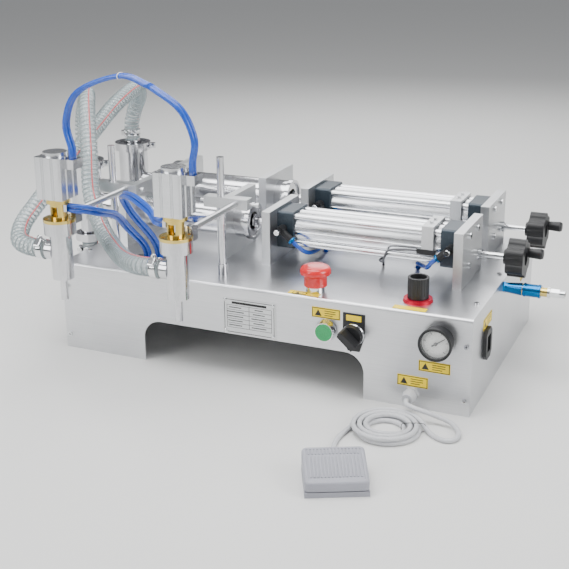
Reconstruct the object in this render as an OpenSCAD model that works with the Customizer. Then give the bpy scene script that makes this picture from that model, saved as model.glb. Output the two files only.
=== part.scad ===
// Two-head pneumatic piston filler for liquids, on a folded sheet cabinet.
// X runs along the machine to the drive end, Y to the back, Z up.
// The origin is on the floor, under the middle of the cabinet.

/* [Cabinet] */
// Length of the cabinet along the machine
cabinet_length = 585; // [560:5:720]
// Depth of the cabinet from front to back
cabinet_depth = 352; // [340:2:430]
// Height of the deck above the floor
deck_height = 127; // [120:1:160]
// Thickness of the cabinet sheet
sheet = 2; // [1.5:0.5:3]
// Height of the arched cut-out between the legs
arch_height = 60; // [45:1:64]
// Width of the left leg beside the cut-out
left_leg_width = 129; // [100:1:160]
// Width of the right leg beside the cut-out
right_leg_width = 137; // [120:1:170]

/* [Lanes] */
// Distance from the front panel to the front lane
front_lane_inset = 145; // [135:1:160]
// Distance between the two lanes
lane_pitch = 137; // [125:1:165]
// Height of the cylinder axis above the deck
axis_height = 45.5; // [42:0.5:60]
// Thickness of the upright plates
plate_thickness = 12; // [10:1:15]
// Width of the upright plates across the lane
plate_width = 102; // [96:1:122]
// Height of the two plates that hold the product cylinder
tall_plate_height = 85; // [78:1:105]
// Height of the two plates that hold the air cylinder
low_plate_height = 75.5; // [73:0.5:95]
// Distance from the left edge of the deck to the first plate
stand_inset = 37.5; // [36:0.5:45]
// Clear length between the product cylinder's two plates
product_bay = 147; // [141:1:180]
// Clear length between the product cylinder and the air cylinder plates
coupling_gap = 56.5; // [50:0.5:68]

/* [Cylinders] */
// Length of the air cylinder over its end caps
air_cylinder_length = 256; // [230:1:300]
// Bore of the air cylinder
air_bore = 40; // [36:1:41]
// Side of the square end caps
cap_side = 52; // [50:1:54]
// Thickness of an end cap
cap_thickness = 24; // [18:1:28]
// Bore of the product cylinder
product_bore = 42; // [35:1:43]
// Outer diameter of the product cylinder
product_tube_od = 50; // [46:1:60]
// Diameter of the piston rod
rod_diameter = 12; // [10:1:14]
// Bore of the guide ring at the product tube's open end
guide_bore = 26; // [24:1:30]
// Outer diameter of the blue air tubes
air_tube_diameter = 6; // [4:1:8]

/* [Adjuster] */
// Distance of the adjusting screw behind the lane's axis
screw_offset = 33; // [32:0.5:38]
// Height of the adjusting screw above the deck
screw_height = 25.5; // [24:0.5:29]
// Diameter of the adjusting screw
screw_diameter = 8; // [6:1:10]
// Diameter of the handwheel over its lobes
wheel_diameter = 52.6; // [46:0.2:56]
// Thickness of the handwheel
wheel_thickness = 23; // [18:1:28]

/* [Valves] */
// Distance from the left edge of the deck to the valve axis
valve_reach = 50.5; // [48:0.5:62]
// Outer diameter of the valve body
valve_od = 46; // [44:1:50]
// Diameter of the check balls
ball_diameter = 18; // [16:0.5:20]

/* [Filling heads] */
// Distance of the nozzle axes in front of the front panel
head_reach = 111; // [90:1:135]
// Distance from the left edge of the deck to the left nozzle
left_head_inset = 82.5; // [75:0.5:95]
// Distance between the two nozzles
head_pitch = 166; // [140:1:200]
// How much higher the left head is clamped than the right one
left_head_rise = 4.5; // [0:0.5:10]
// Height of the right head's reach rod above the floor
rod_height = 228; // [215:1:240]
// Inner diameter of the spout
spout_bore = 7; // [4:0.5:7.5]
// Side of the square cylinder that opens the nozzle
nozzle_cylinder_side = 38; // [34:1:42]

/* [Pedal] */
// Width of the foot pedal
pedal_width = 70; // [60:1:85]
// Length of the foot pedal
pedal_length = 62; // [55:1:72]
// Diameter of the pedal's cord
cord_diameter = 6; // [5:0.5:7]

/* [Hidden] */
$fn = 64;

// Clearances: a running fit per side, a loose hole per side, and a gap between moving faces
running_gap = 0.05;
hole_gap = 0.2;
face_gap = 0.5;

// Cabinet
front_y = -cabinet_depth / 2;
back_y = cabinet_depth / 2;
right_x = cabinet_length / 2;
left_x = -right_x;
bend_radius = 4;
flange_width = 14;
arch_radius = 26;
arch_left = left_x + left_leg_width;
arch_right = right_x - right_leg_width;
panel_screw_inset = 6.5;
deck_screw_inset = 10;
deck_screw_ys = [front_y + 56, 0, back_y - 56];
panel_screw_zs = [20, deck_height - 35];
anchor_y = cabinet_depth / 2 - 26;
anchor_x = right_x - sheet - flange_width / 2;
anchor_hole = 6.6;

// Lanes
lane_front = front_y + front_lane_inset;
lane_rear = lane_front + lane_pitch;
LANES = [lane_front, lane_rear];
axis_z = deck_height + axis_height;
end_plate_x = left_x + stand_inset;
middle_plate_x = end_plate_x + plate_thickness + product_bay;
inner_plate_x = middle_plate_x + plate_thickness + coupling_gap;
cylinder_x = inner_plate_x + plate_thickness;
outer_plate_x = cylinder_x + air_cylinder_length;
barrel_x = cylinder_x + cap_thickness;
barrel_length = air_cylinder_length - 2 * cap_thickness;
barrel_end_x = barrel_x + barrel_length;
barrel_wall = 3.5;
barrel_radius = air_bore / 2 + barrel_wall;
rib_radius = 4.75;
rib_offset = barrel_radius - 5.1;
bolt_pitch = 40;
bolt_hole = 6;
foot_bolt_offset = plate_width / 2 - 16;
foot_bolt = 5;
foot_bolt_depth = 14;
screw_z = deck_height + screw_height;
screw_r = screw_diameter / 2;

// Pistons at rest, drawn back to the drive end
air_piston_thickness = 14;
air_piston_x = barrel_end_x - 12.5 - air_piston_thickness;
product_piston_thickness = 20;
product_piston_x = middle_plate_x - 14;
tube_end_x = middle_plate_x + plate_thickness + 17;
end_ring_thickness = 6;
end_ring_radius = product_tube_od / 2 + 2;
coupling_nut_x = tube_end_x + 9;
coupling_nut_length = 10;

// Product cylinder's left end
cover_flange_radius = 40;
cover_x = end_plate_x - 35;
port_bore = 24;
port_od = 32;

// Handwheels
wheel_x = right_x + 1;
wheel_hub_length = 5.5;
wheel_end_x = wheel_x + wheel_thickness;
lobe_radius = 8.5;
lobe_offset = wheel_diameter / 2 - lobe_radius;
lobe_web = 4.6;
grip_radius = 7.25;
grip_length = 19;
grip_y = 15;
grip_z = 4;
carrier_x = air_piston_x + 1;
carrier_width = 16;
carrier_gap = 0.35;

// Valves
valve_x = left_x - valve_reach;
valve_bottom = axis_z - 22.5;
valve_top = axis_z + 59.5;
valve_bore = valve_od / 2 - 4;
seat_hole = 14;
inlet_seat_z = valve_bottom + 2;
outlet_seat_z = axis_z + 27.5;
seat_drop = sqrt(pow(ball_diameter / 2, 2) - pow(seat_hole / 2, 2)) + 0.1;
neck_radius = 12;
neck_bottom = deck_height - 7;
ferrule_radius = 25;
small_ferrule_radius = 18;
barb_radius = 9;
hose_radius = 12.25;
hose_inner_radius = 9.6;

// Heads
head_y = front_y - head_reach;
left_head_x = left_x + left_head_inset;
right_head_x = left_head_x + head_pitch;
post_dx = -16;
post_y = front_y + 39;
post_radius = 5;
block_z = rod_height;
block_height = 14.4;
block_depth = 16;
reach_rod_dx = 8;
reach_rod_r = 4;
nozzle_body_r = 13.75;
nozzle_bottom = rod_height - 68;
ring_bottom = rod_height - 23;
brass_bottom = ring_bottom + 16;
head_cylinder_height = 53;
head_bore = 30;
stem_radius = 3;
spout_length = 29;
side_inlet_z = rod_height - 47;

// Controls
start_x = 105.3;
start_z = deck_height - 40.6;
selector_x = 142;
gauge_x = 251;
gauge_z = deck_height - 32;
stop_x = 80.4;
stop_y = front_y + 24;
regulator_x = 211.7;
regulator_y = front_y + 40.4;
gland_x = 219;
gland_z = 19;
inlet_y = front_y + 69;
inlet_z = 72.5;
slide_valve_y = -15;
slide_valve_z = deck_height - 11;
button_travel = 4;
stop_travel = 6;
stop_bezel_height = 12.8;
stop_underside = stop_bezel_height + stop_travel + face_gap;

// Holes for tubes and leads, measured from the middle of the deck and from each lane's axis
tube_slot_at = [-187.5, -108];
tube_slot_length = 46;
tube_slot_width = 11;
drive_tube_hole = [31, 39];
wheel_tube_hole = [174, 18];
tube_hole_r = 5;
lead_hole = [127, 11];
lead_hole_r = 2.5;
valve_block_at = [50, -62];
valve_block = [66, 60, 40];
side_label_y = 95;

// Pedal, turned to face the operator
pedal_at = [198, front_y - 209, 0];
pedal_turn = 26;
pedal_front_height = 17.5;
pedal_back_height = 28;
pedal_pin_y = -25;
pedal_pin_z = 11;
pedal_pin_r = 1.5;
cord_r = cord_diameter / 2;
coil_at = [211, -250, 0];
coil_outer = 46;
coil_inner = 17;

// Routes of the hoses, tubes and cords
rear_product_route = [
    [-230, -287, 185.5], [-244, -287, 185.5], [-258, -287, 186], [-279, -280, 190],
    [-291, -256, 204], [-289, -222, 226], [-287, -148, 266], [-295, -66, 297], [-295, -8, 323],
    [-297, 46, 335], [-312, 82, 318], [-334, 103, 292], [-343, 106, 268], [-343, 106, 254],
    [-343, 106, 241.2]
];
front_product_route = [
    [-64, -287, 181], [-80, -287, 181], [-98, -286, 180.5], [-130, -266, 177],
    [-168, -230, 176], [-212, -192, 190], [-243, -166, 228], [-260, -140, 278],
    [-284, -104, 327], [-304, -72, 343], [-323, -46, 333], [-338, -34, 306], [-343, -31, 276],
    [-343, -31, 258], [-343, -31, 241.2]
];
front_suction_route = [
    [-343, -31, 110.8], [-343, -31, 98], [-343, -31, 86], [-346, -20, 56], [-352, 8, 30],
    [-361, 50, 15], [-369, 100, 13.4], [-372, 170, 13.4], [-368, 245, 13.4], [-336, 310, 13.4],
    [-270, 336, 13.4], [-210, 338, 13.4], [-150, 338, 13.4]
];
rear_suction_route = [
    [-343, 106, 110.8], [-343, 106, 98], [-343, 106, 86], [-341, 116, 56], [-337, 140, 30],
    [-330, 180, 15], [-320, 222, 13.4], [-296, 268, 13.4], [-250, 294, 13.4],
    [-180, 300, 13.4], [-70, 300, 13.4], [50, 300, 13.4]
];
arch_left_route = [
    [-184, 0, 307.6], [-184, 0, 320], [-190, 0, 352], [-170, 0, 390], [-110, 0, 412], [-70, 0, 402]
];
arch_right_route = [
    [-70, 0, 402], [-32, 0, 378], [-15, 0, 344], [-18, 0, 318], [-18, 0, 303.1]
];
left_lower_route = [
    [-194.6, -287, 244], [-184, -287, 244], [-172, -280, 242], [-168, -260, 234],
    [-176, -210, 215], [-190, -160, 182], [-194, -120, 150], [-194, -108, 132], [-194, -108, 119]
];
right_lower_route = [
    [-60, -287, 239.5], [-72, -286, 241], [-90, -270, 247], [-132, -238, 251],
    [-172, -200, 240], [-184, -160, 205], [-178, -122, 162], [-176, -108, 138], [-176, -108, 119]
];
pedal_cord_route = [
    [182.4, -353, 4.2], [179, -346, 3.8], [171, -322, 3.2], [166, -294, 3.2], [165.5, -262, 3.2]
];
gland_cord_route = [
    [248, -224, 3.2], [262, -240, 3.2], [280, -251, 3.2], [292, -246, 3.2], [294, -230, 3.2],
    [281, -212, 6], [254, -210, 13], [232, -212, 18], [221, -206, 19], [219, -196.7, 19]
];

function unit(v) = v / norm(v);
function carried(n, t) = unit(n - (n * t) * t);
function spline_point(a, b, c, d, t) =
    0.5 * (2 * b + (c - a) * t + (2 * a - 5 * b + 4 * c - d) * t * t + (3 * b - a - 3 * c + d) * t * t * t);
function padded_points(p) = concat([2 * p[0] - p[1]], p, [2 * p[len(p) - 1] - p[len(p) - 2]]);
function smooth(p, pitch) =
    let (q = padded_points(p))
    concat(
        [for (i = [1:len(p) - 1])
            let (steps = max(1, round(norm(q[i + 1] - q[i]) / pitch)))
            for (s = [0:steps - 1]) spline_point(q[i - 1], q[i], q[i + 1], q[i + 2], s / steps)],
        [p[len(p) - 1]]
    );
function tangents(p) =
    let (n = len(p) - 1)
    [for (i = [0:n]) i == 0 ? unit(p[1] - p[0]) : i == n ? unit(p[n] - p[n - 1]) : unit(p[i + 1] - p[i - 1])];
function side_vectors(t, n, i = 0) =
    i == len(t) ? [] : let (m = carried(n, t[i])) concat([m], side_vectors(t, m, i + 1));
function ring_points(p, t, m, r, sides) =
    let (b = cross(t, m))
    [for (k = [0:sides - 1]) p + r * (cos(360 * k / sides) * m + sin(360 * k / sides) * b)];
function moved(route, d) = [for (p = route) p + d];
function fanned(route, from, to) =
    [for (i = [0:len(route) - 1]) let (a = 90 * i / (len(route) - 1)) route[i] + cos(a) * from + sin(a) * to];

// A round solid swept along a route
module swept(route, r, pitch, sides = 8, start_side = [0.3, 0.5, 0.81]) {
    p = smooth(route, pitch);
    t = tangents(p);
    m = side_vectors(t, start_side);
    n = len(p);
    points = [for (i = [0:n - 1]) each ring_points(p[i], t[i], m[i], r, sides)];
    walls = [for (i = [0:n - 2], k = [0:sides - 1])
        let (a = i * sides + k, b = i * sides + (k + 1) % sides)
        each [[a, a + sides, b], [b, a + sides, b + sides]]];
    first = [for (k = [0:sides - 1]) k];
    last = [for (k = [0:sides - 1]) n * sides - 1 - k];
    polyhedron(points, concat(walls, [first], [last]), convexity = 6);
}

// A hollow hose swept along a route
module hose(route, outer_r, inner_r, pitch, sides = 12, start_side = [0.3, 0.5, 0.81]) {
    p = smooth(route, pitch);
    t = tangents(p);
    m = side_vectors(t, start_side);
    n = len(p);
    rings = n * sides;
    points = concat(
        [for (i = [0:n - 1]) each ring_points(p[i], t[i], m[i], outer_r, sides)],
        [for (i = [0:n - 1]) each ring_points(p[i], t[i], m[i], inner_r, sides)]
    );
    walls = [for (i = [0:n - 2], k = [0:sides - 1])
        let (a = i * sides + k, b = i * sides + (k + 1) % sides)
        each [
            [a, a + sides, b], [b, a + sides, b + sides],
            [rings + a, rings + b, rings + a + sides], [rings + b, rings + b + sides, rings + a + sides]
        ]];
    ends = [for (k = [0:sides - 1])
        let (a = k, b = (k + 1) % sides, e = (n - 1) * sides)
        each [
            [a, b, rings + a], [b, rings + b, rings + a],
            [e + a, rings + e + a, e + b], [e + b, rings + e + a, rings + e + b]
        ]];
    polyhedron(points, concat(walls, ends), convexity = 8);
}

// A cylinder along X from x, radius r, on the axis at y and z
module rod_x(x, length, r, y = 0, z = 0) {
    translate([x, y, z]) rotate([0, 90, 0]) cylinder(h = length, r = r);
}

// A cylinder along Y from y towards the back
module rod_y(y, length, r, x = 0, z = 0) {
    translate([x, y, z]) rotate([-90, 0, 0]) cylinder(h = length, r = r);
}

// A tube along Z
module tube_z(z, height, outer_r, inner_r) {
    translate([0, 0, z]) difference() {
        cylinder(h = height, r = outer_r);
        translate([0, 0, -1]) cylinder(h = height + 2, r = inner_r);
    }
}

// A rectangle with round corners, centred, made of exact arcs
module round_rect(w, h, r) {
    square([w - 2 * r, h], center = true);
    square([w, h - 2 * r], center = true);
    for (sx = [-1, 1], sy = [-1, 1]) translate([sx * (w / 2 - r), sy * (h / 2 - r)]) circle(r);
}

// Cabinet

// Outline of the folded sheet seen from the end, from the bottom edge up to the deck
module shell_outline(inset, bottom = 0) {
    width = cabinet_depth - 2 * inset;
    height = deck_height - inset;
    r = bend_radius - inset;
    translate([-width / 2, -bottom]) square([width, height - r + bottom]);
    translate([-width / 2 + r, 0]) square([width - 2 * r, height]);
    for (s = [-1, 1]) translate([s * (width / 2 - r), height - r]) circle(r);
}

module arch_cutter() {
    width = arch_right - arch_left;
    translate([(arch_left + arch_right) / 2, back_y + 10, 0]) rotate([90, 0, 0])
        linear_extrude(height = cabinet_depth + 20) {
            translate([0, (arch_height - arch_radius) / 2 - 1])
                square([width, arch_height - arch_radius + 2], center = true);
            translate([0, arch_height - arch_radius])
                square([width - 2 * arch_radius, 2 * arch_radius], center = true);
            for (s = [-1, 1]) translate([s * (width / 2 - arch_radius), arch_height - arch_radius])
                circle(arch_radius);
        }
}

module plate_foot_positions() {
    for (y = LANES, s = [-1, 1], x = [end_plate_x, middle_plate_x, inner_plate_x, outer_plate_x])
        translate([x + plate_thickness / 2, y + s * foot_bolt_offset, 0]) children();
}

module deck_holes() {
    plate_foot_positions() cylinder(h = deck_height + 1, r = foot_bolt / 2 + hole_gap);
    for (dx = [left_head_x, right_head_x]) translate([dx + post_dx, post_y, 0])
        cylinder(h = deck_height + 1, r = 2.5 + hole_gap);
    translate([stop_x, stop_y, 0]) cylinder(h = deck_height + 1, r = 11 + hole_gap);
    translate([regulator_x, regulator_y, 0]) cylinder(h = deck_height + 1, r = 12 + hole_gap);
    for (sx = [-1, 1], y = deck_screw_ys) translate([sx * (right_x - deck_screw_inset), y, 0])
        cylinder(h = deck_height + 1, r = 1.5 + hole_gap);
    translate([tube_slot_at[0], tube_slot_at[1], deck_height - 10]) linear_extrude(height = 20)
        round_rect(tube_slot_length, tube_slot_width, 5);
    for (y = LANES) {
        for (hole = [drive_tube_hole, wheel_tube_hole]) translate([hole[0], y + hole[1], deck_height - 10])
            cylinder(h = 20, r = tube_hole_r);
        translate([lead_hole[0], y + lead_hole[1], deck_height - 10]) cylinder(h = 20, r = lead_hole_r);
    }
}

module front_holes() {
    for (at = [[start_x, start_z], [selector_x, start_z]])
        rod_y(front_y - 1, sheet + 2, 11 + hole_gap, at[0], at[1]);
    rod_y(front_y - 1, sheet + 2, 6 + hole_gap, gauge_x, gauge_z);
    rod_y(front_y - 1, sheet + 2, 6 + hole_gap, gland_x, gland_z);
    for (sx = [-1, 1], z = panel_screw_zs) rod_y(front_y - 1, cabinet_depth + 2, 1.5 + hole_gap,
        sx * (right_x - panel_screw_inset), z);
}

module cabinet_shell() {
    color("silver") difference() {
        rotate([90, 0, 90]) translate([0, 0, left_x + sheet])
            linear_extrude(height = cabinet_length - 2 * sheet)
            difference() {
                shell_outline(0);
                shell_outline(sheet, 1);
            }
        arch_cutter();
        deck_holes();
        front_holes();
    }
}

module end_panel() {
    flange_x = right_x - sheet - flange_width;
    difference() {
        union() {
            rotate([90, 0, 90]) translate([0, 0, right_x - sheet]) linear_extrude(height = sheet)
                shell_outline(0);
            for (y = [front_y + sheet, back_y - 2 * sheet]) translate([flange_x, y, 0])
                cube([flange_width, sheet, deck_height - bend_radius - 4]);
            translate([flange_x, front_y + 3 * sheet, deck_height - 2 * sheet])
                cube([flange_width, cabinet_depth - 6 * sheet, sheet]);
            translate([flange_x, front_y + 2 * sheet, 0])
                cube([flange_width, cabinet_depth - 4 * sheet, sheet]);
        }
        for (y = deck_screw_ys) translate([right_x - deck_screw_inset, y, deck_height - 10])
            cylinder(h = 20, r = 1.5 + hole_gap);
        for (z = panel_screw_zs) rod_y(front_y - 1, cabinet_depth + 2, 1.5 + hole_gap,
            right_x - panel_screw_inset, z);
        for (s = [-1, 1]) translate([anchor_x, s * anchor_y, -1]) cylinder(h = 5, r = anchor_hole / 2);
    }
}

module end_panels() {
    color("silver") difference() {
        end_panel();
        translate([right_x - 10, inlet_y - 11, inlet_z - 14]) cube([20, 22, 28]);
        rod_x(right_x - 10, 20, 6.5 + hole_gap, slide_valve_y, slide_valve_z);
    }
    color("silver") mirror([1, 0, 0]) end_panel();
}

// Fasteners

module pan_screw(head_r, head_h, shank_r, shank_h) {
    cylinder(h = head_h, r = head_r);
    translate([0, 0, -shank_h]) cylinder(h = shank_h, r = shank_r);
}

module plate_bolt_positions(y) {
    for (sy = [-1, 1], sz = [-1, 1]) translate([0, y + sy * bolt_pitch / 2, axis_z + sz * bolt_pitch / 2])
        children();
}

module fasteners() {
    color("gainsboro") {
        for (sx = [-1, 1], y = deck_screw_ys) translate([sx * (right_x - deck_screw_inset), y, deck_height])
            pan_screw(3.2, 2, 1.5, 2 * sheet + 2);
        for (sx = [-1, 1], z = panel_screw_zs) {
            translate([sx * (right_x - panel_screw_inset), front_y, z]) rotate([90, 0, 0])
                pan_screw(3.2, 2, 1.5, 2 * sheet + 2);
            translate([sx * (right_x - panel_screw_inset), back_y, z]) rotate([-90, 0, 0])
                pan_screw(3.2, 2, 1.5, 2 * sheet + 2);
        }
        plate_foot_positions() translate([0, 0, deck_height - sheet]) mirror([0, 0, 1])
            pan_screw(4.5, 3.5, foot_bolt / 2, sheet + foot_bolt_depth - 2);
        for (y = LANES) {
            plate_bolt_positions(y) translate([outer_plate_x + plate_thickness, 0, 0]) rotate([0, 90, 0])
                pan_screw(4.25, 3, bolt_hole / 2, plate_thickness + 10);
            plate_bolt_positions(y) translate([inner_plate_x, 0, 0]) rotate([0, -90, 0])
                pan_screw(4.25, 3, bolt_hole / 2, plate_thickness + 10);
        }
        translate(pedal_at) rotate([0, 0, pedal_turn])
            rod_x(-pedal_width / 2 + 1, pedal_width - 2, pedal_pin_r, pedal_pin_y, pedal_pin_z);
    }
}

// Labels

module front_label(x, z, w, h, thickness = 0.6) {
    translate([x, front_y - thickness, z]) cube([w, thickness, h]);
}

module panel_labels() {
    color("silver") difference() {
        front_label(-41, deck_height - 66, 76, 50, 0.8);
        for (sx = [-1, 1], sz = [-1, 1])
            rod_y(front_y - 2, 4, 1.5, -3 + sx * 34.5, deck_height - 41 + sz * 21.5);
    }
    color("gold") {
        front_label(start_x - 20, start_z + 15.1, 38.2, 14);
        front_label(gauge_x - 24, gauge_z - 43.4, 40, 14);
        front_label(gland_x - 19, gland_z + 9.4, 39.5, 14.4);
        difference() {
            for (x = [stop_x - 30.4, regulator_x - 21.7]) translate([x, front_y + bend_radius, deck_height])
                cube([42, 11, 0.6]);
            translate([stop_x, stop_y, deck_height - 1]) cylinder(h = 3, r = 12 + hole_gap);
        }
        translate([right_x, inlet_y - 15, inlet_z + 20.5]) cube([0.6, 42, 14]);
        translate([right_x, side_label_y, deck_height - 39]) cube([0.6, 42, 14]);
    }
    color("dimgray") difference() {
        translate([selector_x, front_y, start_z]) rotate([90, 0, 0]) linear_extrude(height = 1.2)
            polygon([[-14.5, 27.2], [14.5, 27.2], [14.5, -2], [8, -23], [-8, -23], [-14.5, -2]]);
        rod_y(front_y - 3, 5, 11 + hole_gap, selector_x, start_z);
    }
}

// Controls

module contact_blocks() {
    color("dimgray") {
        for (x = [start_x, selector_x]) difference() {
            translate([x - 12, front_y + 30, start_z - 20]) cube([24, 30, 40]);
            rod_y(front_y + 29, 8, 6, x, start_z);
        }
        difference() {
            translate([stop_x - 12, stop_y - 15, deck_height - 62]) cube([24, 30, 30]);
            translate([stop_x, stop_y, deck_height - 40]) cylinder(h = 9, r = 6);
        }
    }
}

// A panel bezel with its threaded barrel and nut; the button's head sinks into its recess
module bezel(outer_r, proud, bore_r, depth, washer = 0, front_r = 12, recess_r = 0) {
    difference() {
        union() {
            translate([0, 0, washer]) cylinder(h = 2, r = outer_r);
            translate([0, 0, washer + 2]) cylinder(h = proud - washer - 2, r1 = outer_r, r2 = front_r);
            translate([0, 0, -depth]) cylinder(h = depth + washer, r = 11);
            translate([0, 0, -sheet - 4]) cylinder(h = 4, r = 14, $fn = 6);
        }
        translate([0, 0, -depth - 1]) cylinder(h = depth + proud + 2, r = bore_r);
        if (recess_r > 0) translate([0, 0, proud - button_travel - 4.5]) cylinder(h = 20, r = recess_r);
    }
}

module control_bezels() {
    color("gainsboro") {
        translate([start_x, front_y, start_z]) rotate([90, 0, 0])
            bezel(14.75, 11, 9.05, 30, 0, 12.3, 11.3);
        translate([selector_x, front_y, start_z]) rotate([90, 0, 0])
            bezel(14.5, 5, 9.05, 30, 1.2, 13.6);
        translate([stop_x, stop_y, deck_height]) bezel(12, stop_bezel_height, 6.05, 32, 0, 11.6);
    }
}

module start_button() {
    color("limegreen") translate([start_x, front_y, start_z]) rotate([90, 0, 0]) {
        translate([0, 0, 7]) cylinder(h = 4.8, r = 11.2);
        translate([0, 0, -22]) cylinder(h = 30, r = 9);
        translate([0, 0, -30]) cylinder(h = 9, r = 4);
    }
}

module selector_knob() {
    color("black") translate([selector_x, front_y, start_z]) rotate([90, 0, 0]) {
        translate([0, 0, -22]) cylinder(h = 28, r = 9);
        translate([0, 0, 5 + face_gap]) cylinder(h = 7, r1 = 14, r2 = 13);
        rotate([0, 0, -42]) translate([0, 0, 12]) linear_extrude(height = 18)
            polygon([[-14.5, 0], [-12, 4.2], [13, 4.2], [13, -4.2], [-12, -4.2]]);
    }
}

module gauge_case() {
    color("black") translate([gauge_x, front_y, gauge_z]) rotate([90, 0, 0]) difference() {
        union() {
            cylinder(h = 15, r = 19.5);
            translate([0, 0, 13]) cylinder(h = 5, r = 21);
            translate([0, 0, -16]) cylinder(h = 17, r = 6);
        }
        translate([0, 0, 11]) cylinder(h = 8, r = 18);
        translate([0, 0, 7]) cylinder(h = 5, r = 1.05);
    }
}

module gauge_needle() {
    color("black") translate([gauge_x, front_y, gauge_z]) rotate([90, 0, 0]) {
        translate([0, 0, 7.5]) cylinder(h = 6, r = 1);
        translate([0, 0, 12.5]) rotate([0, 0, 35]) linear_extrude(height = 1) {
            polygon([[-6, -0.9], [13.5, -0.35], [13.5, 0.35], [-6, 0.9]]);
            circle(2.2);
        }
    }
}

module stop_button_head() {
    color("crimson") translate([stop_x, stop_y, deck_height]) {
        rotate_extrude() polygon([
            [0, stop_underside], [12.6, stop_underside], [12.6, 8], [15, 8], [15, 21.5],
            [19.4, 24], [20, 25], [20, 28.5], [18.5, 32], [14, 34.5], [0, 35.5]
        ]);
        translate([0, 0, -26]) cylinder(h = stop_underside + 27, r = 6);
    }
}

module regulator_ring() {
    color("firebrick") translate([regulator_x, regulator_y, deck_height]) difference() {
        cylinder(h = 4, r1 = 19, r2 = 18);
        translate([0, 0, -1]) cylinder(h = 6, r = 12 + hole_gap);
    }
}

module regulator_knob() {
    color("black") translate([regulator_x, regulator_y, deck_height]) difference() {
        translate([0, 0, 4 + face_gap]) cylinder(h = 27, r = 13.4);
        translate([0, 0, 0]) cylinder(h = 22, r = 10 + running_gap);
        translate([0, 0, 26]) cylinder(h = 10, r = 10.5);
        for (a = [0:20:340]) rotate([0, 0, a]) translate([13.9, 0, 8]) cylinder(h = 30, r = 1);
    }
}

module cord_gland() {
    color("gainsboro") translate([gland_x, front_y, gland_z]) rotate([90, 0, 0]) difference() {
        union() {
            cylinder(h = 6, r = 10.4, $fn = 6);
            translate([0, 0, 6]) cylinder(h = 4, r = 8.4);
            translate([0, 0, 10]) cylinder(h = 10, r1 = 9, r2 = 6.5);
            translate([0, 0, -12]) cylinder(h = 13, r = 6);
            translate([0, 0, -sheet - 5]) cylinder(h = 5, r = 10.4, $fn = 6);
        }
        translate([0, 0, -13]) cylinder(h = 30, r = cord_r + hole_gap);
    }
}

module power_inlet() {
    color("black") translate([right_x, inlet_y, inlet_z]) rotate([90, 0, 90]) difference() {
        union() {
            linear_extrude(height = 5)
                polygon([[-15, -13], [-8, -20], [8, -20], [15, -13], [15, 13], [8, 20], [-8, 20], [-15, 13]]);
            translate([-10.8, -13.8, -22]) cube([21.6, 27.6, 23]);
        }
        translate([-8, -11, -14]) cube([16, 22, 20]);
    }
    color("gainsboro") translate([right_x, inlet_y, inlet_z]) for (at = [[0, 6], [4.5, -4], [-4.5, -4]])
        translate([-15, at[0] - 1, at[1] - 2]) cube([12, 2, 4]);
}

module slide_valve_body() {
    color("royalblue") translate([right_x, slide_valve_y, slide_valve_z]) rotate([0, 90, 0]) difference() {
        union() {
            translate([0, 0, -12]) cylinder(h = 13, r = 6.5);
            cylinder(h = 3, r = 7.5, $fn = 6);
            translate([0, 0, 3]) cylinder(h = 22, r1 = 6.5, r2 = 8.5);
            translate([0, 0, 25]) cylinder(h = 33, r = 6);
            translate([0, 0, 58]) cylinder(h = 3, r = 7.5);
            translate([0, 0, 61]) cylinder(h = 12, r = 6, $fn = 6);
            translate([0, 0, 73]) cylinder(h = 7, r = 5);
        }
        translate([0, 0, -13]) cylinder(h = 94, r = 3);
    }
}

module slide_valve_sleeve() {
    color("royalblue") translate([right_x, slide_valve_y, slide_valve_z]) rotate([0, 90, 0]) difference() {
        union() {
            translate([0, 0, 26]) cylinder(h = 23, r = 8.5);
            for (z = [27, 46]) translate([0, 0, z]) cylinder(h = 2, r = 9.2);
        }
        translate([0, 0, 25]) cylinder(h = 25, r = 6 + running_gap);
    }
}

// Valve block and regulator body, hung under the deck
module air_unit() {
    color("gray") {
        translate([valve_block_at[0], valve_block_at[1], deck_height - sheet - valve_block[2]])
            cube(valve_block);
        translate([regulator_x, regulator_y, deck_height]) {
            difference() {
                translate([0, 0, -54]) cylinder(h = 52, r = 17);
                for (s = [0, 180]) rotate([0, 90, s]) translate([30, 0, 12]) cylinder(h = 8, r = 5);
            }
            translate([0, 0, -3]) cylinder(h = 7, r = 12);
            translate([0, 0, 3]) cylinder(h = 18, r = 10);
        }
    }
}

// Pedal

module pedal_base() {
    color("lightsteelblue") translate(pedal_at) rotate([0, 0, pedal_turn]) {
        translate([0, 0, 3]) cube([pedal_width, pedal_length, 6], center = true);
        translate([-14, -8, 5.9]) cube([28, 20, 7]);
        for (s = [-1, 1]) translate([s * 27, pedal_pin_y, 0]) difference() {
            translate([-2.5, -2, 5.9]) cube([5, 5, 7.4]);
            rod_x(-5, 10, pedal_pin_r + running_gap, 0, pedal_pin_z);
        }
        translate([-6, pedal_length / 2 - 1, 0]) cube([12, 5, 7.5]);
    }
}

module treadle_side(inset, bottom_front, bottom_back) {
    half = pedal_length / 2 - inset;
    polygon([
        [-half, bottom_front], [half, bottom_back],
        [half, pedal_back_height - inset], [-half, pedal_front_height - inset]
    ]);
}

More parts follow.
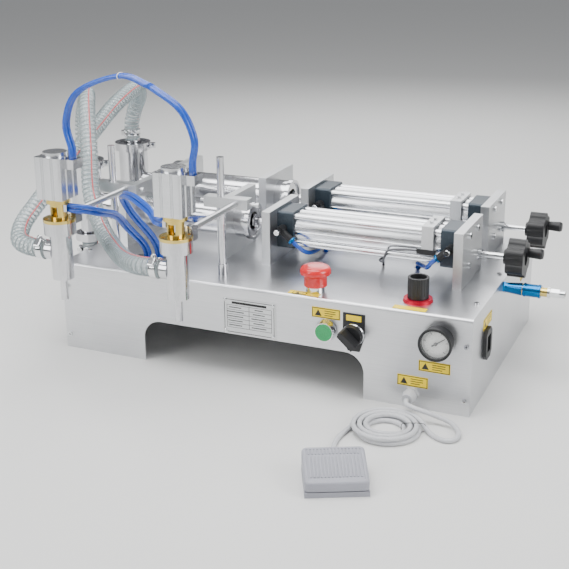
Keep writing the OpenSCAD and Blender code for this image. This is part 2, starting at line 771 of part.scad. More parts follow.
module pedal_treadle() {
    slope = atan((pedal_back_height - pedal_front_height) / pedal_length);
    rib_pitch = 6.4;
    color("lavender") translate(pedal_at) rotate([0, 0, pedal_turn]) {
        difference() {
            rotate([90, 0, 90]) translate([0, 0, -pedal_width / 2]) linear_extrude(height = pedal_width)
                treadle_side(0, 7, 13);
            rotate([90, 0, 90]) translate([0, 0, -pedal_width / 2 + 3])
                linear_extrude(height = pedal_width - 6)
                treadle_side(3, 0, 0);
            rod_x(-pedal_width, 2 * pedal_width, pedal_pin_r + running_gap, pedal_pin_y, pedal_pin_z);
        }
        translate([0, -pedal_length / 2, pedal_front_height]) rotate([slope, 0, 0]) for (i = [-4:4]) {
            translate([i * rib_pitch - 1.2, 5, -0.5]) cube([2.4, 34, 1.5]);
            translate([i * rib_pitch - 1.2, 43, -0.5]) cube([2.4, 14, 1.5]);
        }
    }
}

module pedal_cord() {
    color("whitesmoke") {
        swept(pedal_cord_route, cord_r, 15);
        swept(gland_cord_route, cord_r, 15);
    }
}

module pedal_cord_coil() {
    w = coil_outer - coil_inner;
    h = 2 * cord_diameter;
    color("whitesmoke") translate(coil_at) rotate_extrude() translate([coil_inner, 0])
        polygon([[0, 2], [2, 0], [w - 2, 0], [w, 2], [w, h - 2], [w - 2, h], [2, h], [0, h - 2]]);
}

// Lanes

module upright_plate(x, y, height) {
    difference() {
        translate([x, y - plate_width / 2, deck_height]) cube([plate_thickness, plate_width, height]);
        for (s = [-1, 1]) translate([x + plate_thickness / 2, y + s * foot_bolt_offset, deck_height - 1])
            cylinder(h = foot_bolt_depth + 1, r = foot_bolt / 2 + hole_gap);
        children();
    }
}

module lane_plates() {
    color("gainsboro") for (y = LANES) {
        for (x = [end_plate_x, middle_plate_x]) upright_plate(x, y, tall_plate_height)
            rod_x(x - 1, plate_thickness + 2, product_tube_od / 2 + running_gap, y, axis_z);
        for (x = [inner_plate_x, outer_plate_x]) upright_plate(x, y, low_plate_height) {
            plate_bolt_positions(y) rod_x(x - 1, plate_thickness + 2, bolt_hole / 2 + hole_gap);
            rod_x(x - 1, plate_thickness + 2, screw_r + running_gap, y + screw_offset, screw_z);
            if (x == inner_plate_x) rod_x(x - 1, plate_thickness + 2, rod_diameter / 2 + 2, y, axis_z);
        }
    }
}

module barrel_section() {
    difference() {
        union() {
            circle(barrel_radius);
            for (sy = [-1, 1], sz = [-1, 1]) translate([sy * rib_offset, sz * rib_offset]) circle(rib_radius);
        }
        circle(air_bore / 2);
        for (a = [0:90:270]) rotate(a) translate([barrel_radius + 0.8, 0]) circle(2);
    }
}

module air_barrels() {
    color("whitesmoke") for (y = LANES) translate([barrel_x, y, axis_z]) rotate([90, 0, 90])
        linear_extrude(height = barrel_length) barrel_section();
}

module air_cap(x, y) {
    translate([x, y, axis_z]) rotate([90, 0, 90]) linear_extrude(height = cap_thickness)
        round_rect(cap_side, cap_side, 4);
}

module air_caps() {
    color("darkslategray") for (y = LANES) {
        difference() {
            air_cap(cylinder_x, y);
            rod_x(cylinder_x - 1, cap_thickness + 2, rod_diameter / 2 + running_gap, y, axis_z);
            plate_bolt_positions(y) rod_x(cylinder_x - 1, 12, bolt_hole / 2 + hole_gap);
        }
        difference() {
            air_cap(barrel_end_x, y);
            plate_bolt_positions(y) rod_x(outer_plate_x - 11, 12, bolt_hole / 2 + hole_gap);
        }
    }
}

module product_cylinder(y) {
    bore = product_bore / 2;
    outer = product_tube_od / 2;
    translate([end_plate_x, y, axis_z]) rotate([0, 90, 0]) rotate_extrude() difference() {
        union() {
            translate([bore, 0]) square([outer - bore, tube_end_x - end_plate_x]);
            translate([bore, tube_end_x - end_plate_x]) square([end_ring_radius - bore, end_ring_thickness]);
        }
        translate([bore - 1, tube_end_x - end_plate_x + end_ring_thickness - 2])
            polygon([[0, 0], [1, 0], [4, 3], [0, 3]]);
    }
    guide_x = tube_end_x + end_ring_thickness - 6;
    translate([guide_x, y, axis_z]) rotate([0, 90, 0]) rotate_extrude()
        translate([guide_bore / 2, 0]) square([bore + 1 - guide_bore / 2, 3.5]);
    translate([cover_x, y, axis_z]) rotate([0, 90, 0]) rotate_extrude() polygon([
        [port_bore / 2, 0], [20, 0], [20, 3], [port_od / 2 + 1, 3], [port_od / 2 + 1, 10], [33, 14], [33, 25],
        [cover_flange_radius, 25], [cover_flange_radius, 35], [port_bore / 2, 35]
    ]);
}

module product_cylinders() {
    color("lightgray") for (y = LANES) product_cylinder(y);
}

// Elbow fitting at the front face of an end cap, its arm leaning towards the barrel
module cap_elbow(x, y, side) {
    translate([x, y - cap_side / 2, axis_z + 2]) {
        rotate([90, 0, 0]) cylinder(h = 15, r = 6);
        translate([0, -15, 0]) rotate([90, 0, 0]) cylinder(h = 5, r = 4);
        translate([0, -8, 0]) rotate([0, side * 130, 0]) cylinder(h = 20, r = 5);
    }
}

module cylinder_fittings() {
    color("black") for (y = LANES) {
        cap_elbow(cylinder_x + 9, y, 1);
        cap_elbow(outer_plate_x - 9, y, -1);
    }
}

module cylinder_air_tubes() {
    color("blue") for (y = LANES) {
        swept([
            [cylinder_x + 24.5, y - 34, 161.5], [cylinder_x + 33, y - 34, 154.3],
            [cylinder_x + 41, y - 22, 143], [cylinder_x + 45, y, 138],
            [drive_tube_hole[0], y + drive_tube_hole[1] - 9, 138],
            [drive_tube_hole[0], y + drive_tube_hole[1], 131],
            [drive_tube_hole[0], y + drive_tube_hole[1], 119]
        ], air_tube_diameter / 2, 12);
        swept([
            [outer_plate_x - 24.5, y - 34, 161.5], [outer_plate_x - 33, y - 34, 154.3],
            [outer_plate_x - 42, y - 22, 143], [wheel_tube_hole[0] + 16, y - 6, 138],
            [wheel_tube_hole[0] + 2, y + 10, 136],
            [wheel_tube_hole[0], y + wheel_tube_hole[1], 130],
            [wheel_tube_hole[0], y + wheel_tube_hole[1], 119]
        ], air_tube_diameter / 2, 12);
    }
}

module head_air_tubes() {
    r = air_tube_diameter / 2 - 0.05;
    color("blue") for (s = [-r - 0.3, r + 0.3]) {
        swept(moved(arch_left_route, [0, head_y + s, 0]), r, 20);
        swept(moved(arch_right_route, [0, head_y + s, 0]), r, 20);
        swept(fanned(left_lower_route, [0, 0, s], [s, 0, 0]), r, 20);
        swept(fanned(right_lower_route, [0, 0, s], [s, 0, 0]), r, 20);
    }
}

module piston_rod(y) {
    color("silver") translate([air_piston_x, y, axis_z]) rotate([0, 90, 0]) difference() {
        cylinder(h = air_piston_thickness, r = air_bore / 2 - running_gap);
        translate([0, 0, 5]) rotate_extrude() translate([air_bore / 2 - 2, 0]) square([4, 4]);
    }
    color("whitesmoke") rod_x(coupling_nut_x, air_piston_x - coupling_nut_x, rod_diameter / 2, y, axis_z);
    color("silver") difference() {
        translate([coupling_nut_x - coupling_nut_length, y, axis_z]) rotate([0, 90, 0])
            cylinder(h = coupling_nut_length, r = 10, $fn = 6);
        rod_x(coupling_nut_x - coupling_nut_length - 1, 6, 5, y, axis_z);
    }
    color("white") translate([product_piston_x, y, axis_z]) rotate([0, 90, 0]) {
        difference() {
            cylinder(h = product_piston_thickness, r = product_bore / 2 - running_gap);
            for (z = [4, 13]) translate([0, 0, z]) rotate_extrude() translate([product_bore / 2 - 2, 0])
                square([4, 3]);
        }
        translate([0, 0, product_piston_thickness - 1])
            cylinder(
                h = coupling_nut_x - coupling_nut_length + 6 - product_piston_x - product_piston_thickness,
                r = 5
            );
    }
}

module front_piston_rod() piston_rod(lane_front);
module rear_piston_rod() piston_rod(lane_rear);

module adjusting_screw(y) {
    color("whitesmoke") translate([inner_plate_x, y + screw_offset, screw_z]) {
        rod_x(-40, wheel_end_x - inner_plate_x + 28, screw_r);
        rod_x(-34, 8, 7);
        rod_x(outer_plate_x + plate_thickness - inner_plate_x + face_gap, 5, 7);
    }
}

module front_adjusting_screw() adjusting_screw(lane_front);
module rear_adjusting_screw() adjusting_screw(lane_rear);

module handwheel(y) {
    color("dimgray") translate([wheel_x, y + screw_offset, screw_z]) rotate([0, 90, 0]) difference() {
        union() {
            translate([0, 0, -wheel_hub_length]) cylinder(h = wheel_hub_length + 1, r = 10);
            linear_extrude(height = wheel_thickness) {
                circle(lobe_offset + lobe_web);
                for (a = [0:60:300]) rotate(a) translate([lobe_offset, 0]) circle(lobe_radius);
            }
        }
        translate([0, 0, -wheel_hub_length - 1]) cylinder(h = wheel_thickness - 4, r = screw_r + running_gap);
        translate([0, 0, wheel_thickness - 4]) cylinder(h = 5, r = 9);
        translate([-grip_z, grip_y, wheel_thickness - 12]) cylinder(h = 20, r = 3 + running_gap);
    }
}

module front_handwheel() handwheel(lane_front);
module rear_handwheel() handwheel(lane_rear);

module crank_grip(y) {
    color("black") translate([wheel_end_x, y + screw_offset + grip_y, screw_z + grip_z]) rotate([0, 90, 0]) {
        translate([0, 0, -10]) cylinder(h = 12, r = 3);
        translate([0, 0, face_gap]) cylinder(h = grip_length - 3, r1 = grip_radius - 1, r2 = grip_radius);
        translate([0, 0, face_gap + grip_length - 3])
            cylinder(h = 3, r1 = grip_radius, r2 = grip_radius - 1.5);
    }
}

module front_crank_grip() crank_grip(lane_front);
module rear_crank_grip() crank_grip(lane_rear);

module sensor_carrier(y) {
    inner = barrel_radius + carrier_gap;
    outer = inner + 4;
    color("gainsboro") translate([carrier_x, y, axis_z]) {
        difference() {
            translate([0, -outer, -3.5]) cube([carrier_width, 2 * outer, outer + 3.5]);
            translate([-1, -inner, -4]) cube([carrier_width + 2, 2 * inner, inner + 4]);
        }
        difference() {
            union() {
                translate([0, inner, -barrel_radius + 2]) cube([carrier_width, 4, barrel_radius]);
                translate([0, inner, screw_z - axis_z - 6])
                    cube([carrier_width, screw_offset - inner + 7, 13]);
            }
            rod_x(-1, carrier_width + 2, screw_r + running_gap, screw_offset, screw_z - axis_z);
        }
        for (s = [-1, 1]) translate([carrier_width / 2, s * 9, outer - 0.5]) cylinder(h = 3, r = 2.2);
    }
    color("dimgray") translate([carrier_x - 6, y - outer - 0.5, axis_z - 10.5]) cube([26, 4.5, 7]);
}

module front_sensor_carrier() sensor_carrier(lane_front);
module rear_sensor_carrier() sensor_carrier(lane_rear);

module sensor_leads() {
    color("black") for (y = LANES) swept([
        [carrier_x - 6.5, y - 26, axis_z - 7], [carrier_x - 20, y - 26.5, axis_z - 7],
        [carrier_x - 45, y - 27, axis_z - 11], [lead_hole[0] + 11, y - 24, 145],
        [lead_hole[0] + 1, y - 8, 140], [lead_hole[0], y + lead_hole[1] - 3, 138],
        [lead_hole[0], y + lead_hole[1], 132], [lead_hole[0], y + lead_hole[1], 126],
        [lead_hole[0], y + lead_hole[1], 119]
    ], 1.6, 12);
}

// Valves

module valve_body(y) {
    translate([valve_x, y, 0]) difference() {
        union() {
            translate([0, 0, valve_bottom]) cylinder(h = valve_top - valve_bottom, r = valve_od / 2);
            translate([0, 0, valve_top - 4]) cylinder(h = 4, r = ferrule_radius);
            translate([0, 0, neck_bottom]) cylinder(h = valve_bottom - neck_bottom + 1, r = neck_radius);
            translate([0, 0, neck_bottom]) cylinder(h = 3, r = small_ferrule_radius);
            rod_x(0, cover_x - valve_x, port_od / 2, 0, axis_z);
            rod_x(cover_x - valve_x - 3, 3, 20, 0, axis_z);
        }
        translate([0, 0, inlet_seat_z]) cylinder(h = outlet_seat_z - 4 - inlet_seat_z, r = valve_bore);
        translate([0, 0, outlet_seat_z]) cylinder(h = valve_top - outlet_seat_z + 1, r = valve_bore);
        translate([0, 0, neck_bottom - 1]) cylinder(h = outlet_seat_z - neck_bottom + 2, r = seat_hole / 2);
        rod_x(0, cover_x - valve_x + 1, port_bore / 2, 0, axis_z);
    }
}

module valve_bodies() {
    color("lightgray") for (y = LANES) valve_body(y);
}

// A clamp around a pair of ferrules between z = 0 and the given height
module ferrule_clamp(height, ferrule_r, shoulder_r, wall, ear_turn) {
    difference() {
        union() {
            translate([0, 0, -2]) cylinder(h = height + 4, r = ferrule_r + wall);
            rotate([0, 0, ear_turn]) translate([ferrule_r + wall - 1, -4, 0]) cube([9, 8, height]);
            rotate([0, 0, ear_turn]) translate([ferrule_r + wall + 3, 0, height / 2]) rotate([90, 0, 0])
                translate([0, 0, -11]) cylinder(h = 22, r = 2.5);
        }
        translate([0, 0, -3]) cylinder(h = height + 6, r = shoulder_r);
        cylinder(h = height, r = ferrule_r + running_gap);
    }
}

// A hose tail with its ferrule at z = 0, pointing up
module hose_tail(ferrule_r, length) {
    difference() {
        union() {
            cylinder(h = 4, r = ferrule_r);
            cylinder(h = 9, r = barb_radius + 5);
            cylinder(h = length, r = barb_radius - 0.6);
            for (z = [12:6:length - 6]) translate([0, 0, z])
                cylinder(h = 5, r1 = barb_radius, r2 = barb_radius - 0.6);
        }
        translate([0, 0, -1]) cylinder(h = length + 2, r = seat_hole / 2);
    }
}

module valve_clamps() {
    color("silver") for (y = LANES) translate([valve_x, y, 0]) {
        translate([0, 0, valve_top - 4]) ferrule_clamp(8, ferrule_radius, valve_od / 2 + 0.05, 3.5, 20);
        translate([0, 0, neck_bottom - 4]) ferrule_clamp(7, small_ferrule_radius, 15, 3, 20);
        translate([cover_x - valve_x - 3, 0, axis_z]) rotate([0, 90, 0])
            ferrule_clamp(6, 20, port_od / 2 + 1.1, 3, 100);
        translate([0, 0, valve_top]) hose_tail(ferrule_radius, 36);
        translate([0, 0, neck_bottom]) mirror([0, 0, 1]) hose_tail(small_ferrule_radius, 34);
    }
}

module check_ball(y, seat_z) {
    color("white") translate([valve_x, y, seat_z + seat_drop]) sphere(d = ball_diameter);
}

module front_inlet_ball() check_ball(lane_front, inlet_seat_z);
module front_outlet_ball() check_ball(lane_front, outlet_seat_z);
module rear_inlet_ball() check_ball(lane_rear, inlet_seat_z);
module rear_outlet_ball() check_ball(lane_rear, outlet_seat_z);

module product_hoses() {
    color("lightcyan", 0.7) {
        hose(front_product_route, hose_radius, hose_inner_radius, 40);
        hose(rear_product_route, hose_radius, hose_inner_radius, 40);
    }
}

module suction_hoses() {
    color("lightcyan", 0.7) {
        hose(front_suction_route, hose_radius, hose_inner_radius, 45);
        hose(rear_suction_route, hose_radius, hose_inner_radius, 45);
    }
}

// Filling heads

module nozzle_posts() {
    color("whitesmoke") for (at = [[left_head_x, 290], [right_head_x, 288]])
        translate([at[0] + post_dx, post_y, deck_height]) {
            cylinder(h = at[1] - deck_height, r = post_radius);
            cylinder(h = 15, r = 6.5);
            translate([0, 0, -10]) cylinder(h = 11, r = 2.5);
            translate([0, 0, -sheet - 5]) cylinder(h = 5, r = 5, $fn = 6);
        }
}

module clamp_block(x, rise, left_screw, right_screw) {
    z = block_z + rise;
    color("gainsboro") difference() {
        translate([x - 38, post_y - block_depth / 2, z - block_height / 2])
            cube([63.5, block_depth, block_height]);
        translate([x + post_dx, post_y, z - block_height])
            cylinder(h = 2 * block_height, r = post_radius + running_gap);
        rod_y(post_y - block_depth, 2 * block_depth, reach_rod_r + running_gap, x + reach_rod_dx, z);
        rod_x(x - 39, 12, 2 + hole_gap, post_y, z);
        rod_x(x + 16, 12, 2 + hole_gap, post_y, z);
    }
    color("whitesmoke") {
        rod_y(head_y + 20, post_y + block_depth / 2 + 4 - head_y - 20, reach_rod_r, x + reach_rod_dx, z);
        rod_x(x - 38 - left_screw, left_screw + 9, 2, post_y, z);
        rod_x(x + 17, right_screw + 8.5, 2, post_y, z);
        rod_x(x + 25.5 + right_screw - 4, 4, 3.5, post_y, z);
    }
}

module left_clamp_block() clamp_block(left_head_x, left_head_rise, 8, 8);
module right_clamp_block() clamp_block(right_head_x, 0, 8, 14);

module nozzle_body(x, rise) {
    color("lightgray") translate([x, head_y, rise]) difference() {
        union() {
            translate([0, 0, nozzle_bottom]) cylinder(h = ring_bottom - nozzle_bottom, r = nozzle_body_r);
            translate([0, 0, ring_bottom]) cylinder(h = 16, r = 20);
            translate([0, 0, nozzle_bottom - 14]) cylinder(h = 14, r = nozzle_body_r - 0.3);
            translate([0, 0, nozzle_bottom - 14 - spout_length]) cylinder(h = spout_length + 1, r = 4.8);
            rod_x(-40, 40, barb_radius - 0.4, 0, side_inlet_z);
            rod_x(-19.5, 10, barb_radius + 3, 0, side_inlet_z);
            translate([reach_rod_dx - 6, 12, brass_bottom - 6]) cube([12, 17, 17]);
        }
        translate([0, 0, nozzle_bottom + 3]) cylinder(h = ring_bottom - nozzle_bottom - 3, r = 10);
        translate([0, 0, nozzle_bottom - 15 - spout_length])
            cylinder(h = spout_length + 20, r = spout_bore / 2);
        cylinder(h = brass_bottom + 1, r = stem_radius + running_gap);
        translate([0, 0, nozzle_bottom + 3]) cylinder(h = 3, r = 9);
        rod_x(-50, 50, 6, 0, side_inlet_z);
        rod_y(20, 20, reach_rod_r + running_gap, reach_rod_dx, block_z);
        translate([0, 0, brass_bottom]) cylinder(h = 20, r = 20.5 + running_gap);
    }
}

module left_nozzle_body() nozzle_body(left_head_x, left_head_rise);
module right_nozzle_body() nozzle_body(right_head_x, 0);

module brass_column(x, rise) {
    color("goldenrod") translate([x, head_y, rise + brass_bottom]) difference() {
        union() {
            cylinder(h = 4, r = 20.5);
            cylinder(h = 31, r = 10.75);
            translate([0, 0, 24]) cylinder(h = 7, r = 15);
        }
        translate([0, 0, -1]) cylinder(h = 5, r = stem_radius + running_gap);
        translate([0, 0, 4]) cylinder(h = 28, r = 7.5);
        translate([-5, -20, 7]) cube([10, 40, 13]);
        for (a = [45:90:315]) rotate([0, 0, a]) translate([16, 0, 2.5]) cylinder(h = 2, r = 2.4);
    }
}

module left_brass_column() brass_column(left_head_x, left_head_rise);
module right_brass_column() brass_column(right_head_x, 0);

module nozzle_cylinder(x, rise, lower_side) {
    half = nozzle_cylinder_side / 2;
    z = brass_bottom + 31;
    height = head_cylinder_height;
    color("whitesmoke") translate([x, head_y, rise + z]) {
        difference() {
            linear_extrude(height = height) difference() {
                round_rect(nozzle_cylinder_side, nozzle_cylinder_side, 3);
                for (a = [0:90:270], s = [-1, 1]) rotate(a) translate([half + 0.6, s * 7]) circle(2);
            }
            translate([0, 0, 4]) cylinder(h = height - 8, r = head_bore / 2);
            translate([0, 0, -1]) cylinder(h = 6, r = stem_radius + running_gap);
        }
        translate([0, 0, height]) cylinder(h = 5, r = 15);
    }
    color("black") translate([x, head_y, rise + z]) {
        translate([half, -10, height - 14]) cube([14, 20, 12]);
        translate([lower_side > 0 ? 10.75 : -15.25, -5, -17]) cube([4.5, 10, 9]);
    }
}

module left_nozzle_cylinder() nozzle_cylinder(left_head_x, left_head_rise, 1);
module right_nozzle_cylinder() nozzle_cylinder(right_head_x, 0, -1);

module nozzle_stem(x, rise) {
    color("silver") translate([x, head_y, rise]) {
        translate([0, 0, nozzle_bottom + 3.2]) cylinder(h = 7, r1 = 6, r2 = 8);
        translate([0, 0, nozzle_bottom + 5])
            cylinder(h = brass_bottom + 39 - nozzle_bottom, r = stem_radius);
        translate([0, 0, brass_bottom + 36]) cylinder(h = 9, r = head_bore / 2 - running_gap);
    }
}

module left_nozzle_stem() nozzle_stem(left_head_x, left_head_rise);
module right_nozzle_stem() nozzle_stem(right_head_x, 0);

cabinet_shell();
end_panels();
fasteners();
panel_labels();
contact_blocks();
control_bezels();
start_button();
selector_knob();
gauge_case();
gauge_needle();
stop_button_head();
regulator_ring();
regulator_knob();
cord_gland();
power_inlet();
slide_valve_body();
slide_valve_sleeve();
air_unit();
pedal_base();
pedal_treadle();
pedal_cord();
pedal_cord_coil();
lane_plates();
air_barrels();
air_caps();
product_cylinders();
cylinder_fittings();
cylinder_air_tubes();
head_air_tubes();
front_piston_rod();
rear_piston_rod();
front_adjusting_screw();
rear_adjusting_screw();
front_handwheel();
rear_handwheel();
front_crank_grip();
rear_crank_grip();
front_sensor_carrier();
rear_sensor_carrier();
sensor_leads();
valve_bodies();
valve_clamps();
front_inlet_ball();
front_outlet_ball();
rear_inlet_ball();
rear_outlet_ball();
product_hoses();
suction_hoses();
nozzle_posts();
left_clamp_block();
left_nozzle_body();
left_brass_column();
left_nozzle_cylinder();
left_nozzle_stem();
right_clamp_block();
right_nozzle_body();
right_brass_column();
right_nozzle_cylinder();
right_nozzle_stem();
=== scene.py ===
"""Looks for a two-head pneumatic piston filler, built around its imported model."""

import math

import bmesh
import bpy
from bpy.props import FloatProperty, FloatVectorProperty, PointerProperty
from mathutils import Matrix, Vector


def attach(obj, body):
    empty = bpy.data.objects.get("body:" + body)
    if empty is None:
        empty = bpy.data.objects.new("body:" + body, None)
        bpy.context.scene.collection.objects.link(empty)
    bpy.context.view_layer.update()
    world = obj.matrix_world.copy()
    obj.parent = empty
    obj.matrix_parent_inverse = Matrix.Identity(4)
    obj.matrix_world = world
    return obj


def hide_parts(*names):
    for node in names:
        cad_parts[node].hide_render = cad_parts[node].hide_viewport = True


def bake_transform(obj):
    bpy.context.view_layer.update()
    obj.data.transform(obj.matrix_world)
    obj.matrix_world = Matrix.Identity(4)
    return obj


bl_info = {
    "name": "Piston Filler Looks",
    "version": (1, 0, 0),
    "blender": (4, 5, 0),
    "location": "View3D > Sidebar > Filler",
    "description": "Hoses, cords, finishes and small fittings of a two-head piston filler",
    "category": "Object",
}

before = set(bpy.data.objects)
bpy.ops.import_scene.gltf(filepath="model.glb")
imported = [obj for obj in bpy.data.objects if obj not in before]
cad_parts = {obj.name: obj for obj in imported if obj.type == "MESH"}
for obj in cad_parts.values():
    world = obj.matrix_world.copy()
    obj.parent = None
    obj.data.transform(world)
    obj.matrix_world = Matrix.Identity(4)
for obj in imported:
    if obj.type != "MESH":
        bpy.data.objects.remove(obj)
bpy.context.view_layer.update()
CABINET = "cabinet"
MM = 0.001
LANES = (-31.0, 106.0)
AXIS_Z = 172.5
FRONT_Y = -176.0
DECK_Z = 127.0
RIGHT_X = 292.5
HEAD_Y = -287.0
START = (105.3, 86.4)
SELECTOR = (142.0, 86.4)
GAUGE = (251.0, 95.0)

FRONT_SCREW_Z = (20.0, 92.0)
# Half the space between two tubes side by side, and what each radius is drawn under its nominal size
TUBE_GAP = 0.3
TUBE_SEAT = 0.05
# Where the coil's tie sits round the coil, in radians, and how square its loop is (1 is round)
TIE_ANGLE = 0.35
TIE_SQUARENESS = 0.45

# Product hose routes by head, in millimetres
PRODUCT_ROUTES = {
    "left": [
        (-230, -287, 185.5), (-244, -287, 185.5), (-258, -287, 186), (-279, -280, 190),
        (-291, -256, 204), (-289, -222, 226), (-287, -148, 266), (-295, -66, 297), (-295, -8, 323),
        (-297, 46, 335), (-312, 82, 318), (-334, 103, 292), (-343, 106, 268), (-343, 106, 254),
        (-343, 106, 241.2),
    ],
    "right": [
        (-64, -287, 181), (-80, -287, 181), (-98, -286, 180.5), (-130, -266, 177),
        (-168, -230, 176), (-212, -192, 190), (-243, -166, 228), (-260, -140, 278),
        (-284, -104, 327), (-304, -72, 343), (-323, -46, 333), (-338, -34, 306), (-343, -31, 276),
        (-343, -31, 258), (-343, -31, 241.2),
    ],
}
SUCTION_ROUTES = {
    "front": [
        (-343, -31, 110.8), (-343, -31, 98), (-343, -31, 86), (-346, -20, 56), (-352, 8, 30),
        (-361, 50, 15), (-369, 100, 13.4), (-372, 170, 13.4), (-368, 245, 13.4), (-336, 310, 13.4),
        (-270, 336, 13.4), (-210, 338, 13.4), (-150, 338, 13.4),
    ],
    "rear": [
        (-343, 106, 110.8), (-343, 106, 98), (-343, 106, 86), (-341, 116, 56), (-337, 140, 30),
        (-330, 180, 15), (-320, 222, 13.4), (-296, 268, 13.4), (-250, 294, 13.4),
        (-180, 300, 13.4), (-70, 300, 13.4), (50, 300, 13.4),
    ],
}
ARCH_LEFT = [
    (-184, 0, 307.6), (-184, 0, 320), (-190, 0, 352), (-170, 0, 390), (-110, 0, 412), (-70, 0, 402),
]
ARCH_RIGHT = [(-70, 0, 402), (-32, 0, 378), (-15, 0, 344), (-18, 0, 318), (-18, 0, 303.1)]
LEFT_LOWER = [
    (-194.6, -287, 244), (-184, -287, 244), (-172, -280, 242), (-168, -260, 234),
    (-176, -210, 215), (-190, -160, 182), (-194, -120, 150), (-194, -108, 132), (-194, -108, 119),
]
RIGHT_LOWER = [
    (-60, -287, 239.5), (-72, -286, 241), (-90, -270, 247), (-132, -238, 251),
    (-172, -200, 240), (-184, -160, 205), (-178, -122, 162), (-176, -108, 138), (-176, -108, 119),
]
PEDAL_LEAD = [
    (182.4, -353, 4.2), (179, -346, 3.8), (171, -322, 3.2), (166, -294, 3.2), (165.5, -262, 3.2),
]
GLAND_LEAD = [
    (248, -224, 3.2), (262, -240, 3.2), (280, -251, 3.2), (292, -246, 3.2), (294, -230, 3.2),
    (281, -212, 6), (254, -210, 13), (232, -212, 18), (221, -206, 19), (219, -196.7, 19),
]
COIL_CENTRE = (211.0, -250.0)


def linear(code):
    """An sRGB hex code as linear red, green, blue and alpha."""
    parts = [int(code[i : i + 2], 16) / 255 for i in (0, 2, 4)]
    return (*[c / 12.92 if c <= 0.04045 else ((c + 0.055) / 1.055) ** 2.4 for c in parts], 1.0)


def add(tree, kind, settings=None, links=None):
    """Adds a node of that kind to the tree, with its sockets and properties set and its inputs linked."""
    made = tree.nodes.new(kind)
    for key, value in (settings or {}).items():
        if isinstance(key, int) or key in made.inputs:
            made.inputs[key].default_value = value
        else:
            setattr(made, key, value)
    for key, source in (links or {}).items():
        tree.links.new(source, made.inputs[key])
    return made


def finish(name, dark, light, rough, grain, stretch=(1, 1, 1), relief=0.02, spread=60.0, **sockets):
    """A surface broken up by a fine grain and a broad mottle, both sized in millimetres.

    dark and light are the ends of its colour, rough the ends of its roughness, relief the grain's depth.
    """
    made = bpy.data.materials.new(name)
    made.use_nodes = True
    tree = made.node_tree
    shader = tree.nodes["Principled BSDF"]
    for key, value in sockets.items():
        shader.inputs[key.replace("_", " ")].default_value = value
    place = add(tree, "ShaderNodeTexCoord")
    fine = add(
        tree, "ShaderNodeMapping",
        {"Scale": [s / (grain * MM) for s in stretch]}, {"Vector": place.outputs["Object"]},
    )
    fine_noise = add(
        tree, "ShaderNodeTexNoise", {"Scale": 1.0, "Detail": 4.0, "Roughness": 0.6},
        {"Vector": fine.outputs["Vector"]},
    )
    broad = add(
        tree, "ShaderNodeTexNoise", {"Scale": 1 / (spread * MM), "Detail": 3.0},
        {"Vector": place.outputs["Object"]},
    )
    both = add(
        tree, "ShaderNodeMix", {"data_type": "FLOAT", 0: 0.4},
        {2: fine_noise.outputs["Fac"], 3: broad.outputs["Fac"]},
    )
    tones = add(tree, "ShaderNodeValToRGB", None, {"Fac": both.outputs[0]})
    tones.color_ramp.elements[0].position = 0.3
    tones.color_ramp.elements[0].color = linear(dark)
    tones.color_ramp.elements[1].position = 0.7
    tones.color_ramp.elements[1].color = linear(light)
    tree.links.new(tones.outputs["Color"], shader.inputs["Base Color"])
    gloss = add(
        tree, "ShaderNodeMapRange",
        {"From Min": 0.3, "From Max": 0.7, "To Min": rough[0], "To Max": rough[1]},
        {"Value": both.outputs[0]},
    )
    tree.links.new(gloss.outputs["Result"], shader.inputs["Roughness"])
    bump = add(
        tree, "ShaderNodeBump", {"Strength": 0.5, "Distance": relief * MM},
        {"Height": fine_noise.outputs["Fac"]},
    )
    tree.links.new(bump.outputs["Normal"], shader.inputs["Normal"])
    return made


